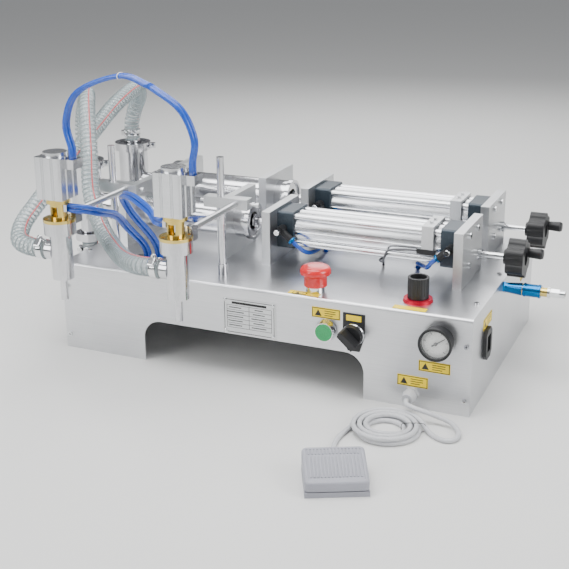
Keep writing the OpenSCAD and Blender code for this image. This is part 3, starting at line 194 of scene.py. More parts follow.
def make_finishes():
    """Every finish of the filler, by the record's slot or a plain name."""
    return {
        # Brushed 304 sheet: long fine strokes along the cabinet blur what it mirrors
        "sheet_steel": finish(
            "Brushed stainless sheet", "CBCCCF", "DFE0E2", (0.27, 0.36), 0.6, (0.012, 1, 1), 0.006,
            Metallic=1.0
        ),
        # Turned and buffed 304: near-mirror, with faint turning lines round the axis
        "polished_steel": finish(
            "Polished stainless", "C4C5C8", "E0E0E3", (0.1, 0.19), 1.2, (1, 0.15, 0.15), 0.004, Metallic=1.0
        ),
        # Milled and anodised plate: pale satin with a fine even tooth
        "aluminium": finish(
            "Satin anodised aluminium", "C4C6C8", "E2E3E4", (0.3, 0.42), 0.5, (1, 0.3, 0.3), 0.012,
            Metallic=1.0
        ),
        # Clear anodised extrusion: bright, with die lines along its length
        "barrel": finish(
            "Extruded anodised barrel", "D2D4D7", "ECEDEF", (0.2, 0.28), 0.9, (0.01, 1, 1), 0.005,
            Metallic=1.0
        ),
        # Die-cast caps in slate enamel: slight orange peel under a satin coat
        "slate_aluminium": finish(
            "Slate enamel on cast aluminium", "27323B", "37444F", (0.34, 0.46), 1.6, (1, 1, 1), 0.02,
            Metallic=0.35, Coat_Weight=0.25, Coat_Roughness=0.2,
        ),
        # Nickel-chrome plate: a clean mirror that picks up soft smudges
        "chrome": finish(
            "Chrome plate", "D6D8DA", "F2F3F4", (0.05, 0.14), 2.0, (1, 1, 1), 0.003, Metallic=1.0
        ),
        # Turned brass: warm yellow with fine rings
        "brass": finish(
            "Turned brass", "D2B455", "F0DA8C", (0.16, 0.26), 0.8, (0.2, 0.2, 1), 0.006, Metallic=1.0
        ),
        # Moulded nylon: matt black with a spark-eroded grain
        "black_plastic": finish(
            "Moulded black nylon", "0D0D0F", "1C1D20", (0.4, 0.56), 0.9, (1, 1, 1), 0.03, IOR=1.53
        ),
        # Moulded grey polyamide of the cord gland: smooth satin
        "grey_plastic": finish(
            "Grey polyamide", "A9AAAE", "C6C7CA", (0.34, 0.46), 1.0, (1, 1, 1), 0.015, IOR=1.53
        ),
        # Moulded green cap: glossy
        "green_plastic": finish(
            "Gloss green acetal", "008A48", "10AE62", (0.18, 0.28), 1.5, (1, 1, 1), 0.006, IOR=1.48,
            Coat_Weight=0.3
        ),
        # Moulded red mushroom head: glossy acetal
        "red_plastic": finish(
            "Gloss red acetal", "CC1620", "E8302F", (0.18, 0.3), 1.5, (1, 1, 1), 0.006, IOR=1.48,
            Coat_Weight=0.3
        ),
        # Dyed anodised ring: metallic red with a soft shine
        "red_metal": finish(
            "Red anodised ring", "C2102F", "E02445", (0.26, 0.36), 0.8, (1, 1, 1), 0.01, Metallic=0.6
        ),
        # Printed polyester film: flat yellow ink under a light gloss
        "yellow_label": finish(
            "Yellow printed film", "F5D000", "FFE21A", (0.34, 0.44), 2.0, (1, 1, 1), 0.004, IOR=1.5
        ),
        # Screen-printed black ink
        "black_ink": finish("Black screen ink", "141414", "232323", (0.45, 0.55), 1.2, (1, 1, 1), 0.004),
        # Dyed anodised slide valve: deep metallic blue
        "blue_metal": finish(
            "Blue anodised aluminium", "0C5C9A", "1F86C4", (0.18, 0.28), 0.8, (0.2, 1, 1), 0.01, Metallic=0.85
        ),
        # Polyurethane air tube: saturated blue, wet-looking, a little light passes into it
        "blue_tube": finish(
            "Blue polyurethane tube", "1440A8", "2C62CC", (0.18, 0.28), 3.0, (1, 1, 1), 0.006,
            IOR=1.5, Subsurface_Weight=0.15, Subsurface_Scale=0.002, Coat_Weight=0.2,
        ),
        # Soft PVC cord sheath: pale grey with a dull skin
        "cord_grey": finish(
            "Grey PVC cord sheath", "B9BABD", "D0D1D4", (0.42, 0.54), 2.0, (1, 1, 1), 0.02, IOR=1.52
        ),
        # Turned PTFE: dense waxy white
        "white_plastic": finish(
            "White PTFE", "E2E1DC", "F0EFEA", (0.36, 0.46), 1.0, (1, 1, 1), 0.008,
            IOR=1.35, Subsurface_Weight=0.2, Subsurface_Scale=0.003,
        ),
        # Moulded ABS treadle: cool lavender grey with a fine grain
        "pedal_plastic": finish(
            "Lavender grey ABS", "8F9099", "A4A5AE", (0.36, 0.48), 0.8, (1, 1, 1), 0.03, IOR=1.53
        ),
        # Rubber skirt and sockets
        "rubber": finish("Black rubber", "111214", "1E1F21", (0.6, 0.75), 0.8, (1, 1, 1), 0.03, IOR=1.52),
        # Soft PVC hose wall: clear, faintly teal and slightly clouded
        "clear_hose": finish(
            "Clear soft PVC", "DCEBEC", "F4FAFA", (0.12, 0.24), 4.0, (1, 1, 1), 0.01,
            IOR=1.53, Alpha=0.25, Coat_Weight=0.4, Coat_Roughness=0.08,
        ),
        # Hard-drawn spring wire wound inside the hose wall
        "wire": finish(
            "Spring steel wire", "566A70", "88999E", (0.25, 0.35), 0.5, (1, 1, 1), 0.003, Metallic=1.0
        ),
        # Red tracer line in the hose wall
        "tracer": finish("Red PVC tracer", "B4232B", "CC3A40", (0.3, 0.4), 2.0, (1, 1, 1), 0.004, IOR=1.53),
        # Sensor lead jacket: dull warm grey PVC
        "lead_grey": finish(
            "Grey lead jacket", "55565A", "6C6D70", (0.42, 0.55), 1.5, (1, 1, 1), 0.01, IOR=1.52
        ),
        # White enamelled dial
        "dial": finish("White enamelled dial", "E8E8E4", "F6F6F3", (0.3, 0.38), 2.0, (1, 1, 1), 0.003),
        # Flat glass over the dial
        "glass": finish(
            "Gauge glass", "F6FAFA", "FFFFFF", (0.02, 0.05), 5.0, (1, 1, 1), 0.001, IOR=1.5, Alpha=0.1
        ),
    }


FINISHES = {}

# Which finish each node carries; the finishes operator puts other finishes on chosen faces
NODE_FINISHES = {
    "cabinet_shell": "sheet_steel", "end_panels": "sheet_steel", "fasteners": "chrome",
    "panel_labels": "yellow_label", "contact_blocks": "black_plastic", "control_bezels": "chrome",
    "start_button": "green_plastic", "selector_knob": "black_plastic", "gauge_case": "black_plastic",
    "gauge_needle": "black_ink", "stop_button_head": "red_plastic", "regulator_ring": "red_metal",
    "regulator_knob": "black_plastic", "cord_gland": "grey_plastic", "power_inlet": "black_plastic",
    "slide_valve_body": "blue_metal", "slide_valve_sleeve": "blue_metal", "air_unit": "aluminium",
    "pedal_base": "pedal_plastic", "pedal_treadle": "pedal_plastic", "lane_plates": "aluminium",
    "air_barrels": "barrel", "air_caps": "slate_aluminium", "product_cylinders": "polished_steel",
    "cylinder_fittings": "black_plastic", "front_piston_rod": "polished_steel",
    "rear_piston_rod": "polished_steel", "front_adjusting_screw": "chrome",
    "rear_adjusting_screw": "chrome", "front_handwheel": "black_plastic",
    "rear_handwheel": "black_plastic", "front_crank_grip": "black_plastic",
    "rear_crank_grip": "black_plastic", "front_sensor_carrier": "aluminium",
    "rear_sensor_carrier": "aluminium", "valve_bodies": "polished_steel",
    "valve_clamps": "polished_steel", "front_inlet_ball": "white_plastic",
    "front_outlet_ball": "white_plastic", "rear_inlet_ball": "white_plastic",
    "rear_outlet_ball": "white_plastic", "nozzle_posts": "polished_steel",
    "left_clamp_block": "aluminium", "right_clamp_block": "aluminium",
    "left_nozzle_body": "polished_steel", "right_nozzle_body": "polished_steel",
    "left_brass_column": "brass", "right_brass_column": "brass",
    "left_nozzle_cylinder": "barrel", "right_nozzle_cylinder": "barrel",
    "left_nozzle_stem": "polished_steel", "right_nozzle_stem": "polished_steel",
}


def smooth(route, pitch):
    """Points a pitch apart on a curve through the route's points, in millimetres."""
    ends = [Vector(p) for p in route]
    q = [2 * ends[0] - ends[1], *ends, 2 * ends[-1] - ends[-2]]
    points = []
    for i in range(1, len(q) - 2):
        a, b, c, d = q[i - 1 : i + 3]
        steps = max(1, round((c - b).length / pitch))
        for s in range(steps):
            t = s / steps
            points.append(
                0.5 * (
                    2 * b + (c - a) * t + (2 * a - 5 * b + 4 * c - d) * t**2 + (3 * b - a - 3 * c + d) * t**3
                )
            )
    return [*points, ends[-1]]


def frames(points):
    """Two unit vectors across the path at each point, carried along it without twist."""
    side, found = Vector((0.3, 0.5, 0.81)), []
    for i in range(len(points)):
        t = (points[min(i + 1, len(points) - 1)] - points[max(i - 1, 0)]).normalized()
        side = (side - side.dot(t) * t).normalized()
        found.append((side, t.cross(side)))
    return found


def shown(name, mesh, finish_name, body=None, slot=None):
    """A mesh as a named piece with its finish, riding on a body if one is named."""
    piece = bpy.data.objects.new(name, mesh)
    bpy.context.scene.collection.objects.link(piece)
    mesh.materials.append(FINISHES[finish_name])
    if body:
        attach(piece, body)
    return piece


def tube_mesh(name, points, radius, sides=16, inner=None):
    """A round tube along the points: solid with flat ends, or hollow where inner is given."""
    bm = bmesh.new()
    across = frames(points)

    def ring(i, r, back=0.0):
        a, b = across[i]
        t = a.cross(b)
        return [
            bm.verts.new(
                (
                    points[i] + t * back + r * (
                        math.cos(2 * math.pi * k / sides) * a + math.sin(2 * math.pi * k / sides) * b
                    )
                )
                * MM
            )
            for k in range(sides)
        ]

    def wall(low, high, flip=False):
        for k in range(sides):
            face = [low[k], low[(k + 1) % sides], high[(k + 1) % sides], high[k]]
            bm.faces.new(face[::-1] if flip else face).smooth = True

    last = len(points) - 1
    outer = [ring(i, radius) for i in range(last + 1)]
    for low, high in zip(outer, outer[1:]):
        wall(low, high)
    if inner:
        inside = [ring(i, inner) for i in range(last + 1)]
        for low, high in zip(inside, inside[1:]):
            wall(low, high, True)
        wall(inside[0], outer[0])
        wall(outer[-1], inside[-1])
    else:
        bm.faces.new(outer[0][::-1])
        bm.faces.new(outer[-1])
    mesh = bpy.data.meshes.new(name)
    bm.to_mesh(mesh)
    bm.free()
    return mesh


def shown_tube(name, path, radius, sides, *looks):
    """A solid tube along the path as a named piece; looks are what shown takes after the mesh."""
    return shown(name, tube_mesh(name, path, radius, sides), *looks)


def spun_mesh(name, profile, at, axis=(0, 0, 1), segments=40):
    """A turned piece: profile holds (radius, height) pairs in millimetres from bottom to top."""
    bm = bmesh.new()
    turn = Vector((0, 0, 1)).rotation_difference(Vector(axis)).to_matrix().to_4x4()
    place = Matrix.Translation(Vector(at)) @ turn
    rings = []
    for r, h in profile:
        if r < 1e-6:
            rings.append([bm.verts.new((place @ Vector((0, 0, h))) * MM)])
            continue
        rings.append([
            bm.verts.new(
                (
                    place @ Vector(
                        (
                            r * math.cos(2 * math.pi * k / segments),
                            r * math.sin(2 * math.pi * k / segments), h
                        )
                    )
                )
                * MM
            )
            for k in range(segments)
        ])
    for low, high in zip(rings, rings[1:]):
        for k in range(segments):
            n = (k + 1) % segments
            if len(low) == 1:
                bm.faces.new([low[0], high[n], high[k]])
            elif len(high) == 1:
                bm.faces.new([low[k], low[n], high[0]])
            else:
                bm.faces.new([low[k], low[n], high[n], high[k]])
    for face in bm.faces:
        face.smooth = True
    bmesh.ops.recalc_face_normals(bm, faces=bm.faces)
    mesh = bpy.data.meshes.new(name)
    bm.to_mesh(mesh)
    bm.free()
    mesh.set_sharp_from_angle(angle=math.radians(35))
    return mesh


def plate_mesh(name, outline, thickness, place, edge=0.3):
    """A flat plate with a softened edge: outline in millimetres, laid in X and Y and standing along Z."""
    bm = bmesh.new()
    base = bm.faces.new([bm.verts.new((x, y, 0)) for x, y in outline])
    grown = bmesh.ops.extrude_face_region(bm, geom=[base])
    for v in grown["geom"]:
        if isinstance(v, bmesh.types.BMVert):
            v.co.z += thickness
    bmesh.ops.recalc_face_normals(bm, faces=bm.faces)
    if edge:
        rim = [e for e in bm.edges if all(v.co.z > thickness / 2 for v in e.verts)]
        bmesh.ops.bevel(
            bm, geom=rim, offset=min(edge, thickness * 0.6), segments=2, affect="EDGES", profile=0.5
        )
    bmesh.ops.transform(bm, matrix=Matrix.Scale(MM, 4) @ place, verts=bm.verts)
    mesh = bpy.data.meshes.new(name)
    bm.to_mesh(mesh)
    bm.free()
    return mesh


def facing(at, normal, up=(0, 0, 1)):
    """A frame at a point whose Z stands along normal and whose Y follows up."""
    z = Vector(normal).normalized()
    x = Vector(up).cross(z).normalized()
    y = z.cross(x)
    return Matrix(((x.x, y.x, z.x, at[0]), (x.y, y.y, z.y, at[1]), (x.z, y.z, z.z, at[2]), (0, 0, 0, 1)))


def joined(name, meshes):
    """One mesh out of several."""
    bm = bmesh.new()
    for m in meshes:
        bm.from_mesh(m)
        bpy.data.meshes.remove(m)
    mesh = bpy.data.meshes.new(name)
    bm.to_mesh(mesh)
    bm.free()
    return mesh


def rectangle(w, h, r=0.0, steps=5, centre=(0, 0)):
    """A rectangle's outline with round corners, in millimetres."""
    cx, cy = centre
    if r <= 0:
        return [
            (cx - w / 2, cy - h / 2), (cx + w / 2, cy - h / 2), (cx + w / 2, cy + h / 2),
            (cx - w / 2, cy + h / 2)
        ]
    points = []
    for sx, sy, start in ((1, -1, -90), (1, 1, 0), (-1, 1, 90), (-1, -1, 180)):
        for s in range(steps + 1):
            a = math.radians(start + 90 * s / steps)
            points.append((cx + sx * (w / 2 - r) + r * math.cos(a), cy + sy * (h / 2 - r) + r * math.sin(a)))
    return points


def spiral_points(path, radius, pitch):
    """A helix round the path, in millimetres."""
    across = frames(path)
    run, points, steps = 0.0, [], 14
    for i in range(len(path) - 1):
        gap = (path[i + 1] - path[i]).length
        count = max(1, round(gap / (pitch / steps)))
        for s in range(count):
            t = s / count
            p = path[i].lerp(path[i + 1], t)
            a = across[i][0].lerp(across[i + 1][0], t).normalized()
            b = across[i][1].lerp(across[i + 1][1], t).normalized()
            turn = 2 * math.pi * (run + gap * t) / pitch
            points.append(p + radius * (math.cos(turn) * a + math.sin(turn) * b))
        run += gap
    return points


def side_line(path, radius, angle):
    """A line along the path at an angle round it."""
    a = math.radians(angle)
    return [p + radius * (math.cos(a) * m + math.sin(a) * b) for p, (m, b) in zip(path, frames(path))]


class FILLER_PG_hoses(bpy.types.PropertyGroup):
    """Sizes of the clear hoses and the air tubes."""

    outer_diameter: FloatProperty(
        name="Hose diameter", description="Outside diameter of the clear hoses", default=0.0245, unit="LENGTH"
    )
    inner_diameter: FloatProperty(
        name="Hose bore", description="Bore of the clear hoses", default=0.0192, unit="LENGTH"
    )
    spiral_pitch: FloatProperty(
        name="Spiral pitch", description="Distance between turns of the steel wire", default=0.0065,
        unit="LENGTH"
    )
    wire_diameter: FloatProperty(
        name="Wire diameter", description="Diameter of the wire in the hose wall", default=0.0022,
        unit="LENGTH"
    )
    air_tube_diameter: FloatProperty(
        name="Air tube diameter", description="Outside diameter of the blue air tubes", default=0.006,
        unit="LENGTH"
    )


class FILLER_PG_cord(bpy.types.PropertyGroup):
    """Sizes of the pedal cord and its coil."""

    diameter: FloatProperty(
        name="Cord diameter", description="Outside diameter of the cord", default=0.006, unit="LENGTH"
    )
    coil_inner: FloatProperty(
        name="Coil inside", description="Radius of the coil's smallest turn", default=0.021, unit="LENGTH"
    )
    coil_outer: FloatProperty(
        name="Coil outside", description="Radius of the coil's largest turn", default=0.043, unit="LENGTH"
    )


class FILLER_PG_stage(bpy.types.PropertyGroup):
    """Camera, floor and lights."""

    lens: FloatProperty(name="Lens", description="Focal length in millimetres", default=68.5)
    azimuth: FloatProperty(
        name="Azimuth", description="Camera's turn from the front", default=math.radians(23.931),
        subtype="ANGLE"
    )
    elevation: FloatProperty(
        name="Elevation", description="Camera's height angle", default=math.radians(17.252), subtype="ANGLE"
    )
    distance: FloatProperty(
        name="Distance", description="Camera's distance from its target", default=1.53038, unit="LENGTH"
    )
    floor_colour: FloatVectorProperty(
        name="Floor colour", description="Colour of the floor", default=linear("DCDCDA")[:3], subtype="COLOR"
    )
    key_power: FloatProperty(
        name="Key light", description="Power of the main soft light in watts", default=46.0
    )
    fill_power: FloatProperty(
        name="Fill light", description="Power of the front soft light in watts", default=24.0
    )


class FILLER_OT_stage(bpy.types.Operator):
    """Sets up the camera, the floor and the soft lights"""

    bl_idname = "filler.stage"
    bl_label = "Stage"

    def execute(self, context):
        s = context.scene.filler_stage
        back = Vector((
            math.sin(s.azimuth) * math.cos(s.elevation), -math.cos(s.azimuth) * math.cos(s.elevation),
            math.sin(s.elevation)
        ))
        right = (-back).cross(Vector((0, 0, 1))).normalized()
        up = right.cross(-back)
        roll = math.radians(-0.529)
        r = math.cos(roll) * right + math.sin(roll) * up
        u = -math.sin(roll) * right + math.cos(roll) * up
        at = Vector((-0.01848, -0.026, 0.14824)) + back * s.distance
        data = bpy.data.cameras.new("Camera")
        data.sensor_width = 36
        data.lens = s.lens
        data.shift_y = -0.0791
        data.clip_start, data.clip_end = 0.05, 60
        camera = bpy.data.objects.new("Camera", data)
        camera.matrix_world = Matrix(
            ((r.x, u.x, back.x, at.x), (r.y, u.y, back.y, at.y), (r.z, u.z, back.z, at.z), (0, 0, 0, 1))
        )
        context.scene.collection.objects.link(camera)
        context.scene.camera = camera

        mesh = bpy.data.meshes.new("floor")
        bm = bmesh.new()
        bmesh.ops.create_grid(bm, x_segments=8, y_segments=8, size=20)
        bm.to_mesh(mesh)
        bm.free()
        floor = bpy.data.objects.new("floor", mesh)
        paint = bpy.data.materials.new("Matt floor")
        paint.use_nodes = True
        shader = paint.node_tree.nodes["Principled BSDF"]
        shader.inputs["Base Color"].default_value = (*s.floor_colour, 1)
        shader.inputs["Roughness"].default_value = 0.7
        mesh.materials.append(paint)
        context.scene.collection.objects.link(floor)

        for name, place, size, power in (
            ("Overhead", (-0.2, -0.3, 1.7), 1.5, s.key_power),
            ("Front fill", (-1.1, -1.7, 1.1), 1.2, s.fill_power),
            ("Right side", (1.7, -0.3, 0.9), 1.0, s.fill_power),
            ("Back strip", (-0.3, 1.5, 1.3), 1.2, s.fill_power * 0.8),
        ):
            light = bpy.data.lights.new(name, "AREA")
            light.shape, light.size, light.energy = "SQUARE", size, power
            lamp = bpy.data.objects.new(name, light)
            lamp.location = place
            lamp.rotation_mode = "QUATERNION"
            lamp.rotation_quaternion = (Vector((-0.02, -0.02, 0.12)) - Vector(place)).to_track_quat("-Z", "Y")
            context.scene.collection.objects.link(lamp)

        world = bpy.data.worlds.new("Studio")
        world.use_nodes = True
        tree = world.node_tree
        place = add(tree, "ShaderNodeTexCoord")
        parts = add(tree, "ShaderNodeSeparateXYZ", None, {"Vector": place.outputs["Generated"]})
        ramp = add(tree, "ShaderNodeValToRGB", None, {"Fac": parts.outputs["Z"]})
        ramp.color_ramp.elements[0].position = 0.0
        ramp.color_ramp.elements[0].color = linear("4A4B50")
        ramp.color_ramp.elements[1].position = 0.6
        ramp.color_ramp.elements[1].color = linear("E6E8EC")
        sky = tree.nodes["Background"]
        tree.links.new(ramp.outputs["Color"], sky.inputs["Color"])
        sky.inputs["Strength"].default_value = 0.5
        context.scene.world = world
        return {"FINISHED"}


class FILLER_OT_pedal_cord(bpy.types.Operator):
    """Lays the pedal cord from the pedal round its coil to the gland, with the coil's tie"""

    bl_idname = "filler.pedal_cord"
    bl_label = "Pedal cord"

    def execute(self, context):
        s = context.scene.filler_cord
        r, inner, outer = s.diameter / 2 / MM, s.coil_inner / MM, s.coil_outer / MM
        cx, cy = COIL_CENTRE
        layers = (r + 0.05, 3 * r + 0.1)
        first = math.atan2(PEDAL_LEAD[-1][1] - cy, PEDAL_LEAD[-1][0] - cx)
        last = math.atan2(GLAND_LEAD[0][1] - cy, GLAND_LEAD[0][0] - cx)
        per_turn = 20
        turns = 2.5
        points = smooth(
            PEDAL_LEAD[:-1] + [(cx + outer * math.cos(first), cy + outer * math.sin(first), layers[0])], 5
        )
        total = int(turns * per_turn)
        for i in range(1, total + 1):
            a = first - 2 * math.pi * i / per_turn
            q = outer + (inner - outer) * i / total
            points.append(Vector((cx + q * math.cos(a), cy + q * math.sin(a), layers[0])))
        a_top = first - 2 * math.pi * total / per_turn
        rest = (a_top - last) % (2 * math.pi)
        upper_turns = 2 * 2 * math.pi + rest
        steps = int(upper_turns / (2 * math.pi) * per_turn)
        for i in range(1, steps + 1):
            a = a_top - upper_turns * i / steps
            q = inner + (outer - inner) * i / steps
            rise = min(1, i / 5)
            z = layers[0] + (layers[1] - layers[0]) * (rise * rise * (3 - 2 * rise))
            points.append(Vector((cx + q * math.cos(a), cy + q * math.sin(a), z)))
        points += smooth([tuple(points[-1]), *GLAND_LEAD[1:]], 5)[1:]
        cord = shown_tube("pedal_cord_sheath", points, r, 12, "cord_grey", CABINET, "cord_grey")
        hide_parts("pedal_cord", "pedal_cord_coil")
        at = Vector(
            (
                cx + (inner + outer) / 2 * math.cos(TIE_ANGLE),
                cy + (inner + outer) / 2 * math.sin(TIE_ANGLE), 2 * r
            )
        )
        out = Vector((math.cos(TIE_ANGLE), math.sin(TIE_ANGLE), 0))
        half, high = (outer - inner) / 2 + r + 0.3, 2 * r + 0.1
        loop = []
        for k in range(28):
            a = 2 * math.pi * k / 28
            c, n = math.cos(a), math.sin(a)
            across = math.copysign(half * abs(c) ** TIE_SQUARENESS, c)
            along = math.copysign(high * 0.97 * abs(n) ** TIE_SQUARENESS, n)
            loop.append(at + out * across + Vector((0, 0, 1)) * along)
        loop.append(loop[0].copy())
        tie = shown_tube("coil_tie", loop, 0.45, 6, "black_plastic", CABINET, "black_plastic")
        return {"FINISHED"}


def hose_pieces(name, route, s):
    """The wall, wire and tracer of one clear hose; the tracer runs on its outer, front side."""
    path = smooth(route, 6)
    side, other = frames(path)[len(path) // 3]
    toward = Vector((0.75, -0.62, 0.2))
    angle = math.degrees(math.atan2(toward.dot(other), toward.dot(side)))
    outer, inner = s.outer_diameter / 2 / MM, s.inner_diameter / 2 / MM
    middle = (outer + inner) / 2
    wall = shown(name, tube_mesh(name, path, outer, 28, inner), "clear_hose", None, "clear_hose")
    wire = shown(
        name + "_wire",
        tube_mesh(
            name + "_wire", spiral_points(path, middle, s.spiral_pitch / MM), s.wire_diameter / 2 / MM, 6
        ),
        "wire", None, "polished_steel",
    )
    tracer = shown(
        name + "_tracer", tube_mesh(name + "_tracer", side_line(path, outer - 0.95, angle), 1.1, 8), "tracer",
        None,
        "red_plastic",
    )
    return path, (wall, wire, tracer)


class FILLER_OT_suction_hoses(bpy.types.Operator):
    """Lays the two clear suction hoses that run down behind the cabinet"""

    bl_idname = "filler.suction_hoses"
    bl_label = "Suction hoses"

    def execute(self, context):
        s = context.scene.filler_hoses
        for side, route in SUCTION_ROUTES.items():
            path, (wall, wire, tracer) = hose_pieces(side + "_suction_hose", route, s)
            for piece in (wall, wire, tracer):
                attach(piece, CABINET)
            if side == "front":
                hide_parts("suction_hoses")
        return {"FINISHED"}


class FILLER_OT_product_hoses(bpy.types.Operator):
    """Leads the two clear product hoses from the valves to the filling heads"""

    bl_idname = "filler.product_hoses"
    bl_label = "Product hoses"

    def execute(self, context):
        s = context.scene.filler_hoses
        for side, route in PRODUCT_ROUTES.items():
            _, parts = hose_pieces(side + "_product_hose", route, s)
            for piece in parts:
                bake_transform(piece)
            if side == "left":
                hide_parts("product_hoses")
        return {"FINISHED"}


def worm_clamp(name, at, along, radius, body, turn=0.0):
    """A worm-drive hose clamp: band, screw housing and slotted screw."""
    z = Vector(along).normalized()
    x = z.orthogonal().normalized()
    x = Matrix.Rotation(math.radians(turn), 3, z) @ x
    y = z.cross(x)
    at = Vector(at)
    place = Matrix(((x.x, y.x, z.x, at.x), (x.y, y.y, z.y, at.y), (x.z, y.z, z.z, at.z), (0, 0, 0, 1)))
    band = spun_mesh(
        name + "_a",
        [(radius, -4.2), (radius + 0.7, -4.4), (radius + 0.9, -4), (radius + 0.7, -3.4), (radius + 0.7, 3.4),
         (radius + 0.9, 4), (radius + 0.7, 4.4), (radius, 4.2)],
        at, z,
    )
    house = plate_mesh(
        name + "_b", rectangle(11, 9, 1.5), 5.2,
        place @ Matrix(((0, 0, 1, radius + 0.4), (1, 0, 0, 0), (0, 1, 0, 0), (0, 0, 0, 1))), 1.2,
    )
    screw = spun_mesh(
        name + "_c", [(0, 0), (3.3, 0), (3.5, 0.4), (3.5, 3.2), (3.1, 3.7), (0.6, 3.7), (0.6, 3.0), (0, 3.0)],
        place @ Vector((radius + 3.4, 5.6, 0)), y, 24,
    )
    shown(name, joined(name, [band, house, screw]), "chrome", body, "chrome")


class FILLER_OT_hose_clamps(bpy.types.Operator):
    """Puts worm-drive clamps on the hose ends at the valves and the heads"""

    bl_idname = "filler.hose_clamps"
    bl_label = "Hose clamps"

    def execute(self, context):
        radius = context.scene.filler_hoses.outer_diameter / 2 / MM
        for label, y in zip(("front", "rear"), LANES):
            worm_clamp(label + "_outlet_clamp", (-343, y, 254), (0, 0, 1), radius, CABINET, 200)
            worm_clamp(label + "_inlet_clamp", (-343, y, 98), (0, 0, 1), radius, CABINET, 160)
        worm_clamp("left_head_clamp", (-238, HEAD_Y, 185.5), (-1, 0, 0), radius, "left_head", 90)
        worm_clamp("right_head_clamp", (-73, HEAD_Y, 181), (-1, 0, 0), radius, "right_head", 90)
        return {"FINISHED"}


class FILLER_OT_air_tubes(bpy.types.Operator):
    """Runs the blue air tubes and the sensor leads"""

    bl_idname = "filler.air_tubes"
    bl_label = "Air tubes"

    def execute(self, context):
        r = context.scene.filler_hoses.air_tube_diameter / 2 / MM - TUBE_SEAT
        def apart_in_y(s):
            return ((0, HEAD_Y + s, 0),) * 2

        def height_to_side(s):
            return (0, 0, s), (s, 0, 0)

        sets = (
            ("arch_left", ARCH_LEFT, "left_head", apart_in_y, ((-186, HEAD_Y, 312), (-90, HEAD_Y, 405))),
            ("arch_right", ARCH_RIGHT, "right_head", apart_in_y, ((-18, HEAD_Y, 310), (-60, HEAD_Y, 400))),
            ("left_lower", LEFT_LOWER, "left_head", height_to_side, ((-170, -270, 238), (-192, -130, 160))),
            ("right_lower", RIGHT_LOWER, "right_head", height_to_side, ((-80, -280, 245), (-178, -130, 170))),
        )
        for name, route, head, spread, (start, end) in sets:
            for i, s in enumerate((-r - TUBE_GAP, r + TUBE_GAP)):
                first, last = [Vector(v) for v in spread(s)]
                n = len(route) - 1
                if first == last:
                    moved = [tuple(Vector(p) + first) for p in route]
                else:
                    angles = [math.pi / 2 * k / n for k in range(n + 1)]
                    moved = [
                        tuple(Vector(p) + math.cos(a) * first + math.sin(a) * last) for p,
                        a in zip(route, angles)
                    ]
                label = f"{name}_tube_{i + 1}"
                tube = shown_tube(label, smooth(moved, 6), r, 14, "blue_tube", None, "blue_tube")
                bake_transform(tube)
                if name == "arch_left" and i == 0:
                    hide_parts("head_air_tubes")
        for label, y in zip(("front", "rear"), LANES):
            for end, route in (
                ("drive", [(9.0, y - 34, 161.5), (17.5, y - 34, 154.3), (25.5, y - 22, 143), (29.5, y, 138),
                           (31, y + 30, 138), (31, y + 39, 131), (31, y + 39, 119)]),
                ("wheel", [(216, y - 34, 161.5), (207.5, y - 34, 154.3), (198.5, y - 22, 143),
                           (190, y - 6, 138), (176, y + 10, 136), (174, y + 18, 130), (174, y + 18, 119)]),
            ):
                name = f"{label}_{end}_tube"
                tube = shown_tube(name, smooth(route, 4), r, 14, "blue_tube", CABINET, "blue_tube")
                if name == "front_drive_tube":
                    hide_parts("cylinder_air_tubes")
            lead_route = [
                (184.5, y - 26, 165.5), (171, y - 26.5, 165.5), (146, y - 27, 161.5), (138, y - 24, 145),
                (128, y - 8, 140), (127, y + 8, 138), (127, y + 11, 132), (127, y + 11, 126),
                (127, y + 11, 119),
            ]
            name = label + "_sensor_lead"
            lead = shown_tube(name, smooth(lead_route, 4), 1.6, 10, "lead_grey", None, "black_plastic")
            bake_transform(lead)
            if label == "front":
                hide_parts("sensor_leads")
        return {"FINISHED"}


class FILLER_OT_finishes(bpy.types.Operator):
    """Gives every carried node its finish"""

    bl_idname = "filler.finishes"
    bl_label = "Finishes"

    def execute(self, context):
        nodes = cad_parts
        for name, finish_name in NODE_FINISHES.items():
            mesh = nodes[name].data
            mesh.materials.clear()
            mesh.materials.append(FINISHES[finish_name])
            for face in mesh.polygons:
                face.material_index = 0

        def repaint(node, finish_name, chosen):
            mesh = nodes[node].data
            mesh.materials.append(FINISHES[finish_name])
            index = len(mesh.materials) - 1
            for face in mesh.polygons:
                if chosen(face.center / MM):
                    face.material_index = index

        repaint("panel_labels", "aluminium", lambda c: c.y < FRONT_Y + 0.1 and -42 < c.x < 36)
        repaint("panel_labels", "black_plastic", lambda c: c.y < FRONT_Y + 0.1 and 127 < c.x < 157)
        for side in ("left", "right"):
            x = -210 if side == "left" else -44
            repaint(
                side + "_nozzle_cylinder", "polished_steel",
                lambda c, x=x,
                up=4.5 if side == "left" else 0: c.x > x + 19.2 and c.z > 270 + up or c.z < 251.9 + up,
            )
        repaint("slide_valve_body", "chrome", lambda c: c.x > RIGHT_X + 57.5)
        repaint("slide_valve_body", "brass", lambda c: RIGHT_X + 24.5 < c.x < RIGHT_X + 57.5)
        for lane, y in zip(("front", "rear"), LANES):
            repaint(lane + "_piston_rod", "white_plastic", lambda c: c.x < -89.5)
            repaint(
                lane + "_sensor_carrier", "black_plastic", lambda c, y=y: c.y < y - 23.8 - 4 and c.z < 170
            )
        return {"FINISHED"}


